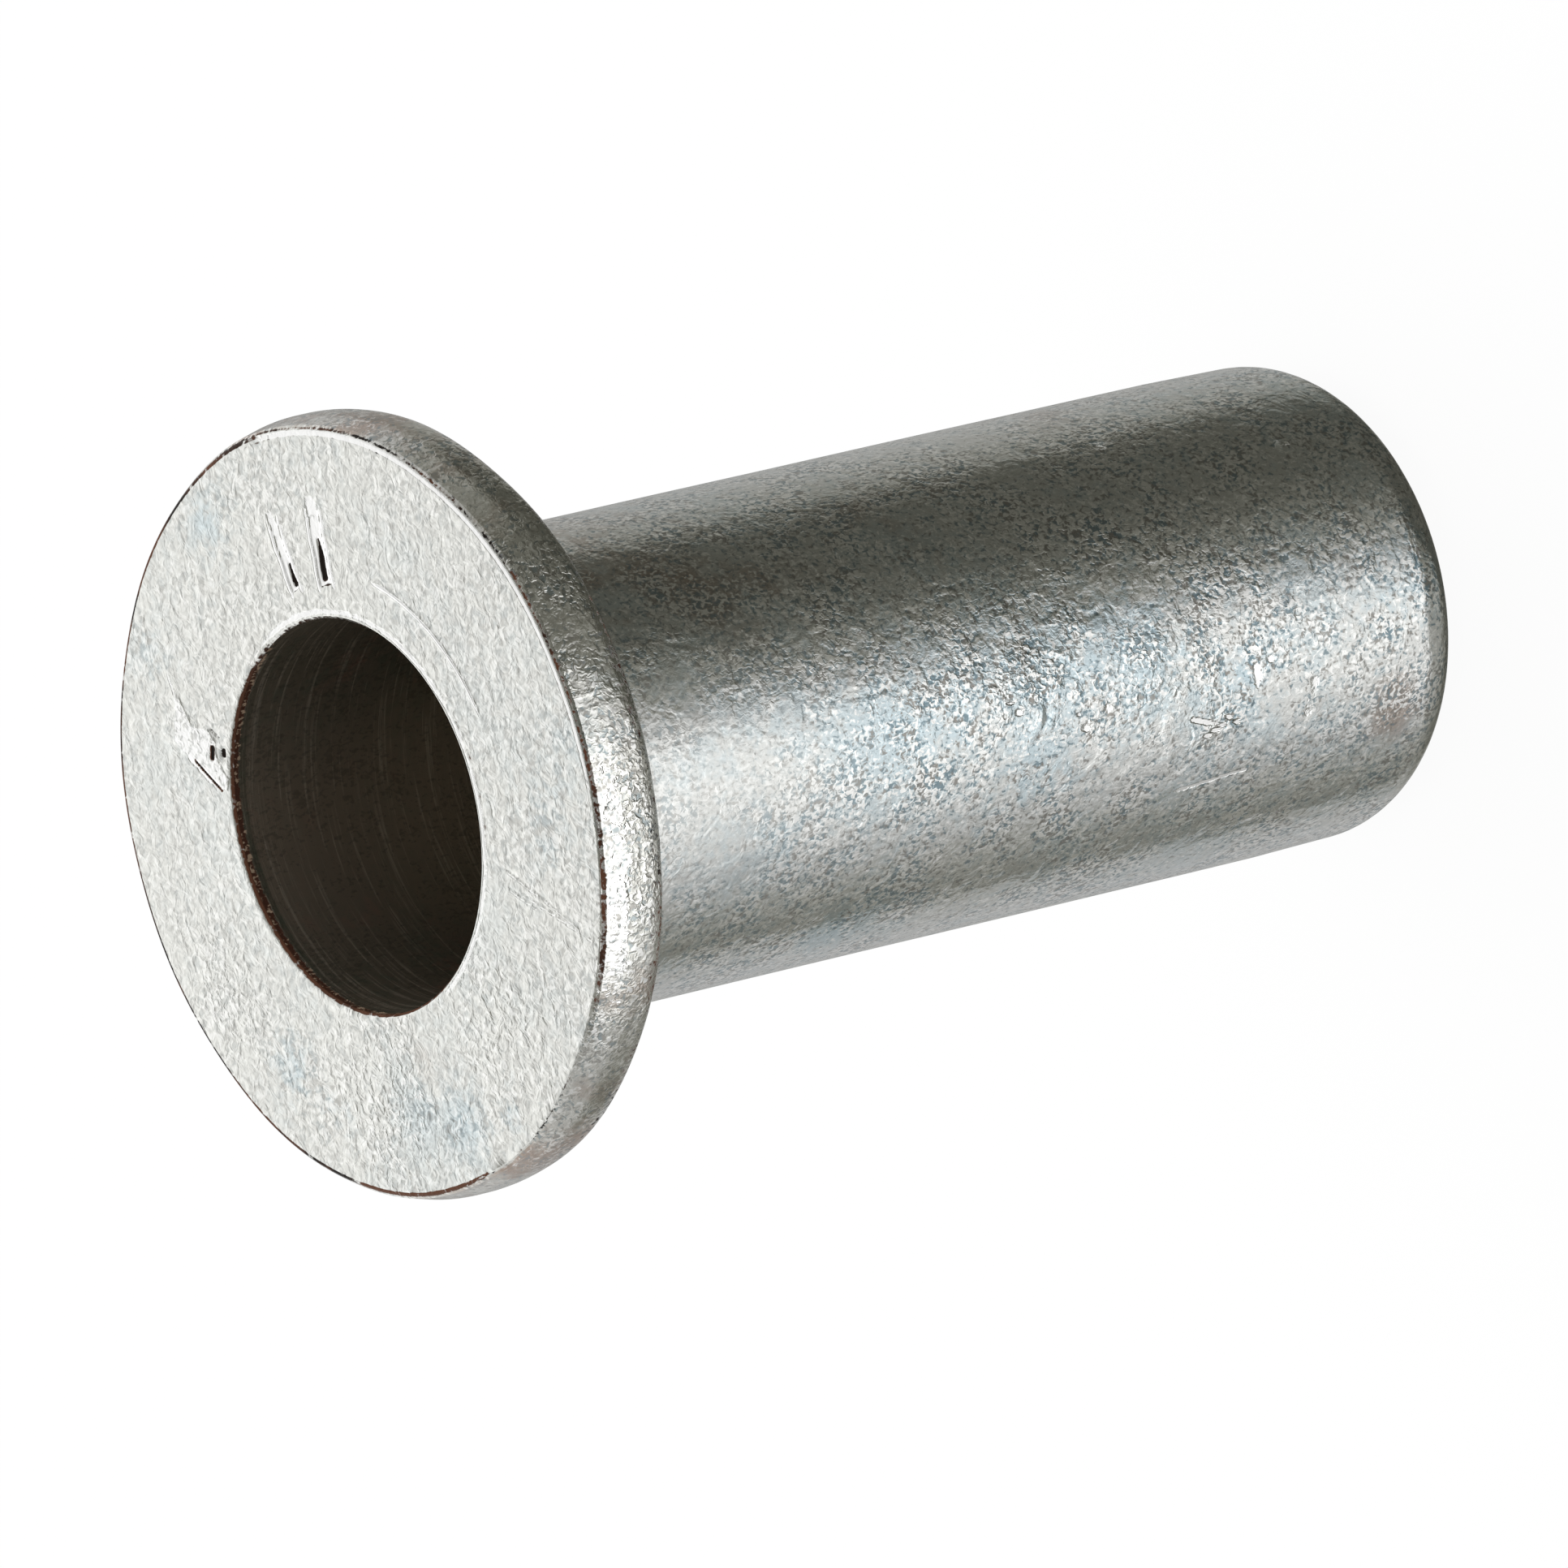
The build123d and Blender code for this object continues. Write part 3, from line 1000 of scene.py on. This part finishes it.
# %% Group: plating_grain
FLOAT = "NodeSocketFloat"
COLOUR = "NodeSocketColor"
VECTOR = "NodeSocketVector"
grain_group, taken, put = new_group(
    "plating_grain",
    [
        ("Grain per mm", FLOAT, 9.0),
        ("Stretch", VECTOR, (1, 1, 1)),
        ("Cluster", FLOAT, 0.5),
        ("Dents per mm", FLOAT, 2.1),
    ],
    [(label, FLOAT) for label in ("Sparkle", "Dents", "Dark Flecks", "Light Flecks", "Grain")],
)
spots_mm = in_millimetres(grain_group)
drawn = add_node(grain_group, "ShaderNodeVectorMath", "drawn out along the work", operation="MULTIPLY")
grain_group.links.new(spots_mm, drawn.inputs[0])
grain_group.links.new(taken.outputs["Stretch"], drawn.inputs[1])
drawn = drawn.outputs[0]
speckle = noise(grain_group, drawn, taken.outputs["Grain per mm"], 1.5, 0.6, 0.6)
dent_spots = shifted(grain_group, spots_mm, (7, 3, 1))
dents = noise(grain_group, dent_spots, taken.outputs["Dents per mm"], 2.0, 0.55, 0.8)
grain_group.links.new(dents, put.inputs["Dents"])
clusters = noise(grain_group, shifted(grain_group, spots_mm, (2, 9, 4)), 0.85, 3.0, 0.6)
crowd = maths(grain_group, "SUBTRACT", clusters, 0.5)
patchy = ramp(grain_group, clusters, 0.40, 0.62)
facets = ramp(grain_group, speckle, 0.36, 0.64)
facets = maths(grain_group, "MULTIPLY", facets, maths(grain_group, "MULTIPLY_ADD", patchy, 0.6, 0.4))
grain_group.links.new(facets, put.inputs["Sparkle"])
crowd = maths(grain_group, "MULTIPLY", crowd, taken.outputs["Cluster"])
dark_side = maths(grain_group, "SUBTRACT", crowd, speckle)
grain_group.links.new(ramp(grain_group, dark_side, -0.48, -0.34), put.inputs["Dark Flecks"])
# light flecks, which the zinc finishes paint as glints
light_side = maths(grain_group, "ADD", crowd, speckle)
grain_group.links.new(ramp(grain_group, light_side, 0.53, 0.66), put.inputs["Light Flecks"])
grain_group.links.new(speckle, put.inputs["Grain"])

# %% Group: passivation
tint_group, taken, put = new_group(
    "passivation",
    [
        ("Steel", COLOUR, (0.74, 0.75, 0.72, 1)),
        ("Blue", COLOUR, (0.52, 0.69, 0.77, 1)),
        ("Brown", COLOUR, (0.47, 0.37, 0.305, 1)),
        ("Blue Share", FLOAT, 0.5),
        ("Brown Share", FLOAT, 0.3),
        ("Blue Here", FLOAT, 0.0),
        ("Brown Here", FLOAT, 0.0),
    ],
    [("Color", COLOUR), ("Fleck Color", COLOUR), ("Clouds", FLOAT)],
)
spots_mm = in_millimetres(tint_group)
broad = noise(tint_group, spots_mm, 0.42, 3.0, 0.6, 0.4)
mottle = noise(tint_group, shifted(tint_group, spots_mm, (4, 1, 9)), 4.5, 2.0, 0.6)
blue_clouds = maths(tint_group, "MULTIPLY_ADD", mottle, 0.7, broad)
blue_here = taken.outputs["Blue Here"]
brown_here = taken.outputs["Brown Here"]
blue_clouds = maths(tint_group, "MULTIPLY_ADD", blue_here, 0.25, blue_clouds)
blue_clouds = ramp(tint_group, blue_clouds, 0.76, 1.08)
brown_clouds = noise(tint_group, shifted(tint_group, spots_mm, (17, 6, 2)), 0.75, 4.0, 0.7)
brown_clouds = maths(tint_group, "MULTIPLY_ADD", brown_here, 0.22, brown_clouds)
brown_clouds = ramp(tint_group, brown_clouds, 0.55, 0.80)
blue_amount = maths(tint_group, "MULTIPLY_ADD", blue_here, 0.45, taken.outputs["Blue Share"])
blue_amount = maths(tint_group, "MULTIPLY", blue_clouds, blue_amount, clamp=True)
brown_amount = maths(tint_group, "MULTIPLY_ADD", brown_here, 0.70, taken.outputs["Brown Share"])
brown_amount = maths(tint_group, "MULTIPLY", brown_clouds, brown_amount, clamp=True)
tinted = blend_colour(tint_group, blue_amount, taken.outputs["Steel"], taken.outputs["Blue"])
tinted = blend_colour(tint_group, brown_amount, tinted, taken.outputs["Brown"])
tint_group.links.new(tinted, put.inputs["Color"])
teal = ramp(tint_group, mottle, 0.42, 0.56)
BROWN_FLECK = (0.27, 0.25, 0.225, 1)
TEAL_FLECK = (0.14, 0.25, 0.31, 1)
deep = blend_colour(tint_group, teal, BROWN_FLECK, TEAL_FLECK)
tint_group.links.new(deep, put.inputs["Fleck Color"])
tint_group.links.new(broad, put.inputs["Clouds"])

# %% Group: tool_lines
line_group, taken, put = new_group(
    "tool_lines",
    [("Lines per mm", FLOAT, 6.0)],
    [("Height", FLOAT), ("Light Lines", FLOAT)],
)
spots_mm = in_millimetres(line_group)
parts = add_node(line_group, "ShaderNodeSeparateXYZ")
line_group.links.new(spots_mm, parts.inputs[0])
LINES_ACROSS = 0.30
strung = combine(
    line_group,
    "drawn out round the hole",
    maths(line_group, "MULTIPLY", parts.outputs[0], LINES_ACROSS),
    maths(line_group, "MULTIPLY", parts.outputs[1], LINES_ACROSS),
    maths(line_group, "MULTIPLY", parts.outputs[2], taken.outputs["Lines per mm"]),
)
rings = noise(line_group, strung, 1.0, 4.0, 0.7)
line_group.links.new(rings, put.inputs["Height"])
line_group.links.new(ramp(line_group, rings, 0.53, 0.66), put.inputs["Light Lines"])
print("groups:", grain_group.name, tint_group.name, line_group.name)

# %% [markdown]
# ## The zinc finishes
# Barrel, rim and face are one plating, but they were worked differently. The barrel came out of the die
# with a coarse sparkle, painted in as light glint flecks, the rim was burnished by handling, and the face
# was pressed flat and is the most even. So one function builds all three, and each gets its own values.

# %% Zinc materials
def use_group(tree, group, label, **values):
    """A group placed in a material with its own values."""
    made = add_node(tree, "ShaderNodeGroup", label)
    made.node_tree = group
    for name, value in values.items():
        made.inputs[name.replace("_", " ")].default_value = value
    return made


def read_number(tree, name):
    """A number kept on the mesh, such as grime with painted shade, or shine."""
    made = add_node(tree, "ShaderNodeAttribute", name, attribute_type="GEOMETRY")
    made.attribute_name = name
    return made.outputs["Fac"]


def emboss(tree, shader, height, relief_mm):
    """Fine relief in the surface, so deep where the height is 1."""
    bump = add_node(tree, "ShaderNodeBump")
    bump.inputs["Strength"].default_value = 1.0
    bump.inputs["Distance"].default_value = relief_mm * MM
    tree.links.new(height, bump.inputs["Height"])
    tree.links.new(bump.outputs[0], shader.inputs["Normal"])


GLINT_FLECK = (0.98, 0.98, 0.955, 1)
DULL_FILM = (0.42, 0.42, 0.40, 1)
RUBBED_ZINC_AND_HIGHLIGHT = (1.0, 1.0, 0.985, 1)
BLACK_GRIME_AND_SHADE = (0.012, 0.008, 0.006, 1)
RUSTY_GRIME = (0.105, 0.043, 0.023, 1)


def zinc(material, steel, tint, grain, relief_mm, rough, flecks):
    """Bright zinc plate on steel; flecks gives the strength of the dark ones and of the light ones, which
    are painted glints.
    """
    tree = material.node_tree
    shader = tree.nodes["Principled BSDF"]
    shader.inputs["Specular IOR Level"].default_value = 0.15
    grain_node = use_group(tree, grain_group, "grain", **grain)
    tint_node = use_group(tree, tint_group, "tint", Steel=(*steel, 1), **tint)
    for attribute in ("blue", "brown"):
        socket = tint_node.inputs[attribute.capitalize() + " Here"]
        tree.links.new(read_number(tree, attribute), socket)
    busy = maths(tree, "MULTIPLY_ADD", read_number(tree, "calm"), -0.75, 1.0)
    stained = maths(tree, "MULTIPLY_ADD", read_number(tree, "blue"), 0.45, flecks[0])
    dark = maths(tree, "MULTIPLY", grain_node.outputs["Dark Flecks"], stained, clamp=True)
    dark = maths(tree, "MULTIPLY", dark, busy)
    colour = blend_colour(tree, dark, tint_node.outputs["Color"], tint_node.outputs["Fleck Color"])
    # light flecks, raised by sparkle, are painted glints in near white
    busy = maths(tree, "MULTIPLY_ADD", busy, flecks[1], read_number(tree, "sparkle"))
    light = maths(tree, "MULTIPLY", grain_node.outputs["Light Flecks"], busy, clamp=True)
    colour = blend_colour(tree, light, colour, GLINT_FLECK)
    film = maths(tree, "MULTIPLY_ADD", grain_node.outputs["Grain"], -0.9, 0.62, clamp=True)
    colour = blend_colour(tree, film, colour, DULL_FILM)
    ragged = maths(tree, "SUBTRACT", grain_node.outputs["Grain"], 0.5)
    # rubbed wear, with the painted highlights held in shine, turns the colour near white
    wear_and_highlight = maths(tree, "MULTIPLY_ADD", ragged, 0.7, read_number(tree, "shine"))
    wear_and_highlight = ramp(tree, wear_and_highlight, 0.25, 0.60)
    colour = blend_colour(tree, wear_and_highlight, colour, RUBBED_ZINC_AND_HIGHLIGHT)
    # grime, with the painted shade held in it, turns the colour black to rust brown
    dirt_and_shade = maths(tree, "MULTIPLY_ADD", ragged, -1.1, read_number(tree, "grime_and_shade"))
    dirt_and_shade = ramp(tree, dirt_and_shade, 0.36, 0.62)
    rusty = ramp(tree, tint_node.outputs["Clouds"], 0.40, 0.54)
    rusty = maths(tree, "MAXIMUM", rusty, read_number(tree, "rust"))
    packed = ramp(tree, read_number(tree, "grime_and_shade"), 0.80, 0.95)
    rusty = maths(tree, "MULTIPLY", rusty, maths(tree, "SUBTRACT", 1.0, packed))
    grime_and_shade_colour = blend_colour(tree, rusty, BLACK_GRIME_AND_SHADE, RUSTY_GRIME)
    colour = blend_colour(tree, dirt_and_shade, colour, grime_and_shade_colour)
    tree.links.new(colour, shader.inputs["Base Color"])
    # less metallic where grime and painted shade lie
    tree.links.new(maths(tree, "MULTIPLY_ADD", dirt_and_shade, -0.85, 1.0), shader.inputs["Metallic"])
    matt = maths(tree, "MULTIPLY_ADD", grain_node.outputs["Dark Flecks"], 0.10, rough)
    matt = maths(tree, "MULTIPLY_ADD", tint_node.outputs["Clouds"], 0.06, matt)
    matt = maths(tree, "MULTIPLY_ADD", dirt_and_shade, 0.35, matt)
    tree.links.new(matt, shader.inputs["Roughness"])
    fine = maths(tree, "MULTIPLY", grain_node.outputs["Sparkle"], relief_mm[1] / relief_mm[0])
    lively = maths(tree, "MULTIPLY_ADD", read_number(tree, "sparkle"), 2.5, 0.5)
    fine = maths(tree, "MULTIPLY", fine, lively)
    lively = maths(tree, "MULTIPLY_ADD", read_number(tree, "sparkle"), 1.3, 0.6)
    height = maths(tree, "MULTIPLY_ADD", grain_node.outputs["Dents"], lively, fine)
    height = maths(tree, "MULTIPLY", height, maths(tree, "MULTIPLY_ADD", wear_and_highlight, -0.75, 1.0))
    emboss(tree, shader, height, relief_mm[0])


zinc(
    finishes["zinc_barrel"],
    (0.80, 0.81, 0.785),
    {"Blue_Share": 0.32, "Brown_Share": 0.20},
    {"Grain_per_mm": 12.0, "Stretch": (1, 1, 0.8), "Cluster": 0.45},
    (0.042, 0.0042),
    0.10,
    (0.78, 1.10),
)
zinc(
    finishes["zinc_rim"],
    (0.74, 0.735, 0.685),
    {"Blue_Share": 0.06, "Brown_Share": 0.40},
    {"Grain_per_mm": 9.5, "Stretch": (1, 1, 1), "Cluster": 0.5},
    (0.030, 0.0060),
    0.09,
    (0.60, 0.60),
)
zinc(
    finishes["zinc_face"],
    (0.870, 0.873, 0.828),
    {"Blue_Share": 0.12, "Brown_Share": 0.08},
    {"Grain_per_mm": 7.5, "Stretch": (1.0, 0.80, 1), "Cluster": 0.5, "Dents_per_mm": 3.8},
    (0.038, 0.0055),
    0.11,
    (0.13, 0.42),
)
print("zinc finishes made")

# %% [markdown]
# ## The bore
# Zinc hardly reaches into a narrow hole, and oil and phosphate stay there. The bore wall is a dark brown
# steel with fine rings from the drill, and the thread below it is cut metal with lighter rings of its own.

# %% Bore and thread materials
OIL_GREEN = (0.23, 0.26, 0.20, 1)
OIL_BROWN = (0.56, 0.33, 0.26, 1)
PALE_STEEL = (0.62, 0.51, 0.42, 1)
OIL_SPOT = (0.13, 0.12, 0.09, 1)
DARK_RUST = (0.082, 0.034, 0.021, 1)
FLAKED_STEEL = (0.60, 0.45, 0.32, 1)


def bored(material, steel, streak, lines, rough, relief_mm, streak_share):
    """Dark machined steel with rings round the hole."""
    tree = material.node_tree
    shader = tree.nodes["Principled BSDF"]
    line_node = use_group(tree, line_group, "rings", Lines_per_mm=lines)
    tint_node = use_group(tree, tint_group, "stains", Steel=(*steel, 1), Blue=OIL_GREEN, Brown=OIL_BROWN)
    tint_node.inputs["Blue Share"].default_value = 0.9
    tint_node.inputs["Brown Share"].default_value = 0.9
    grain_node = use_group(tree, grain_group, "rust grain", Grain_per_mm=13.0, Stretch=(1, 1, 0.6))
    # lighter on one side of the bore
    lighter_side = maths(tree, "MULTIPLY", read_number(tree, "shine"), 0.60)
    colour = blend_colour(tree, lighter_side, tint_node.outputs["Color"], PALE_STEEL)
    share = maths(tree, "MULTIPLY", line_node.outputs["Light Lines"], streak_share)
    colour = blend_colour(tree, share, colour, (*streak, 1))
    spotted = maths(tree, "MULTIPLY", grain_node.outputs["Dark Flecks"], 0.35)
    colour = blend_colour(tree, spotted, colour, OIL_SPOT)
    flaky = maths(tree, "SUBTRACT", grain_node.outputs["Grain"], 0.5)
    rusted = maths(tree, "MULTIPLY_ADD", flaky, 1.2, read_number(tree, "rust"))
    rusted = ramp(tree, rusted, 0.28, 0.52)
    bare = maths(tree, "MULTIPLY", grain_node.outputs["Light Flecks"], 0.8)
    rust_colour = blend_colour(tree, bare, DARK_RUST, FLAKED_STEEL)
    colour = blend_colour(tree, rusted, colour, rust_colour)
    tree.links.new(colour, shader.inputs["Base Color"])
    tree.links.new(maths(tree, "MULTIPLY_ADD", rusted, -0.7, 0.85), shader.inputs["Metallic"])
    matt = maths(tree, "MULTIPLY_ADD", tint_node.outputs["Clouds"], 0.15, rough)
    tree.links.new(matt, shader.inputs["Roughness"])
    emboss(tree, shader, line_node.outputs["Height"], relief_mm)


bored(finishes["oiled_bore"], (0.34, 0.30, 0.235), (0.98, 0.88, 0.76), 9.0, 0.27, 0.008, 0.50)
bored(finishes["cut_thread"], (0.40, 0.37, 0.33), (0.58, 0.55, 0.50), 8.0, 0.28, 0.006, 0.6)
print("bore finishes made")

# %% [markdown]
# ## Studio: floor, lamp, world and tent
# Shiny metal shows its surroundings more than its own colour. The floor and the world are plain white.
# Round the nut stands a tent of grey card, seen only in reflections: bent black and white card is what
# gives shape to a shiny part. Card greys are listed by bearing, seen from above, from the viewer's side
# round by the left, and for three heights.

# %% Floor
def looked_at(tree):
    """1 for what the eye or a reflection looks at, and 0 for light that only fills in."""
    ray = add_node(tree, "ShaderNodeLightPath")
    seen = maths(tree, "MAXIMUM", ray.outputs["Is Camera Ray"], ray.outputs["Is Glossy Ray"])
    return maths(tree, "MAXIMUM", seen, ray.outputs["Is Transmission Ray"])


def bare_tree(owner, output_kind):
    """An emptied node tree of a material or the world, and its new output node."""
    owner.use_nodes = True
    owner.node_tree.nodes.clear()
    return owner.node_tree, add_node(owner.node_tree, output_kind)


floor_mesh = bpy.data.meshes.new("floor")
floor_mesh.from_pydata([(-3, -3, 0), (3, -3, 0), (3, 3, 0), (-3, 3, 0)], [], [(0, 1, 2, 3)])
floor = add_object("floor", floor_mesh)
paper = bpy.data.materials.new("white_paper")
tree, shown = bare_tree(paper, "ShaderNodeOutputMaterial")
lit = add_node(tree, "ShaderNodeBsdfDiffuse")
lit.inputs["Color"].default_value = (0.94, 0.94, 0.94, 1)
white = add_node(tree, "ShaderNodeEmission")
white.inputs["Strength"].default_value = 1.0
share = add_node(tree, "ShaderNodeMixShader")
feed(tree, share.inputs[0], maths(tree, "MULTIPLY", looked_at(tree), 0.94))
tree.links.new(lit.outputs[0], share.inputs[1])
tree.links.new(white.outputs[0], share.inputs[2])
tree.links.new(share.outputs[0], shown.inputs["Surface"])
floor_mesh.materials.append(paper)
floor.visible_glossy = False
print("floor of white paper")

# %% World and lamp
world = bpy.data.worlds.new("studio")
bpy.context.scene.world = world
tree, shown = bare_tree(world, "ShaderNodeOutputWorld")
sky = add_node(tree, "ShaderNodeBackground")
sky.inputs["Color"].default_value = (1, 1, 1, 1)
feed(tree, sky.inputs["Strength"], maths(tree, "MULTIPLY_ADD", looked_at(tree), 0.35, 0.65))
tree.links.new(sky.outputs[0], shown.inputs["Surface"])

lamp_data = bpy.data.lights.new("soft_lamp", "SUN")
lamp_data.energy = 1.75
lamp_data.angle = radians(70)
lamp = add_object("soft_lamp", lamp_data)
lamp.rotation_euler = (radians(-30), radians(12), 0)
lamp.visible_glossy = False
print("world and one soft lamp")

# %% The tent of grey cards
# bearing from the viewer's side, grey
LOW_CARDS = [
    (-180, 0.43), (-150, 0.43), (-130, 0.37), (-120, 0.31), (-111, 0.26), (-107, 0.12), (-90, 0.095),
    (-60, 0.10), (-40, 0.15), (-20, 0.33), (-8, 0.58), (4, 0.96), (16, 1.10), (30, 1.04), (45, 0.89),
    (60, 0.71), (75, 0.49), (90, 0.37), (104, 0.26), (113, 0.20), (118, 0.38), (126, 0.46), (150, 0.50),
    (180, 0.43),
]
LEVEL_CARDS = [
    (-180, 1.05), (-130, 0.85), (-100, 0.35), (-60, 0.15), (-30, 0.20), (-10, 0.90), (5, 1.55), (45, 1.55),
    (65, 0.80), (90, 0.50), (130, 0.80), (180, 1.05),
]
HIGH_CARDS = [
    (-180, 1.12), (-135, 1.04), (-90, 0.50), (-45, 0.12), (0, 0.06), (45, 0.12), (90, 0.50), (135, 1.04),
    (180, 1.12),
]
TENT_RADIUS = 0.25


def card_grey(turned_to, height_angle):
    """How bright the tent is towards that bearing and height, in degrees."""
    low = np.interp(turned_to, *zip(*LOW_CARDS))
    level_grey = np.interp(turned_to, *zip(*LEVEL_CARDS))
    high = np.interp(turned_to, *zip(*HIGH_CARDS))
    rise = ease((height_angle + 30) / 20)
    climb = ease((height_angle - 6) / 24)
    top = ease((height_angle - 28) / 42)
    grey = low * (1 - rise) + level_grey * rise
    grey = grey * (1 - climb) + high * climb
    grey = grey * (1 - top) + 0.25 * top
    below = ease((-height_angle - 41) / 13)
    deep_grey = np.interp(turned_to, [-180, -30, 30, 90, 150, 180], [0.08, 0.09, 0.36, 0.34, 0.14, 0.08])
    return grey * (1 - below) + deep_grey * below


RINGS = 90
SPOKES = 180
tilts = np.linspace(-89.5, 89.5, RINGS)
turns = np.arange(SPOKES) * 360 / SPOKES - 180
tilt_grid, turn_grid = np.meshgrid(tilts, turns, indexing="ij")
level_part = np.cos(np.radians(tilt_grid))
tent_spots = np.stack(
    [
        -np.sin(np.radians(turn_grid)) * level_part,
        -np.cos(np.radians(turn_grid)) * level_part,
        np.sin(np.radians(tilt_grid)),
    ],
    -1,
).reshape(-1, 3) * TENT_RADIUS
tent_faces = []
for ring in range(RINGS - 1):
    for spoke in range(SPOKES):
        near = ring * SPOKES + spoke
        beside = ring * SPOKES + (spoke + 1) % SPOKES
        tent_faces.append((near, beside, beside + SPOKES, near + SPOKES))
tent_mesh = bpy.data.meshes.new("card_tent")
tent_mesh.from_pydata(tent_spots.tolist(), [], tent_faces)
greys = card_grey(turn_grid, tilt_grid).ravel()
darkness = np.clip(1 - greys / 0.5, 0, 1)
# dark card is a little warmer than light card
green_part = greys * (1 - 0.01 * darkness)
blue_part = greys * (1 - 0.20 * darkness)
card_colours = np.stack([greys, green_part, blue_part, greys * 0 + 1], -1)
tent_mesh.attributes.new("card", "FLOAT_COLOR", "POINT").data.foreach_set("color", card_colours.ravel())
for polygon in tent_mesh.polygons:
    polygon.use_smooth = True
tent = add_object("card_tent", tent_mesh)
card = bpy.data.materials.new("grey_card")
tree, shown = bare_tree(card, "ShaderNodeOutputMaterial")
glow = add_node(tree, "ShaderNodeEmission")
tone = add_node(tree, "ShaderNodeAttribute", "card", attribute_type="GEOMETRY")
tone.attribute_name = "card"
tree.links.new(tone.outputs["Color"], glow.inputs["Color"])
tree.links.new(glow.outputs[0], shown.inputs["Surface"])
card.cycles.emission_sampling = "NONE"
tent_mesh.materials.append(card)
for ray_kind in ("camera", "diffuse", "shadow", "transmission", "volume_scatter"):
    setattr(tent, "visible_" + ray_kind, False)
print("tent of", len(tent_mesh.polygons), "faces")

# %% [markdown]
# ## Hand over to the frame
# The skin stands for the CAD solid and rides on its body.

# %% Ride and replace
bpy.context.scene.view_settings.view_transform = "Standard"
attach(nut, "root")
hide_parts("rivet_nut_body")
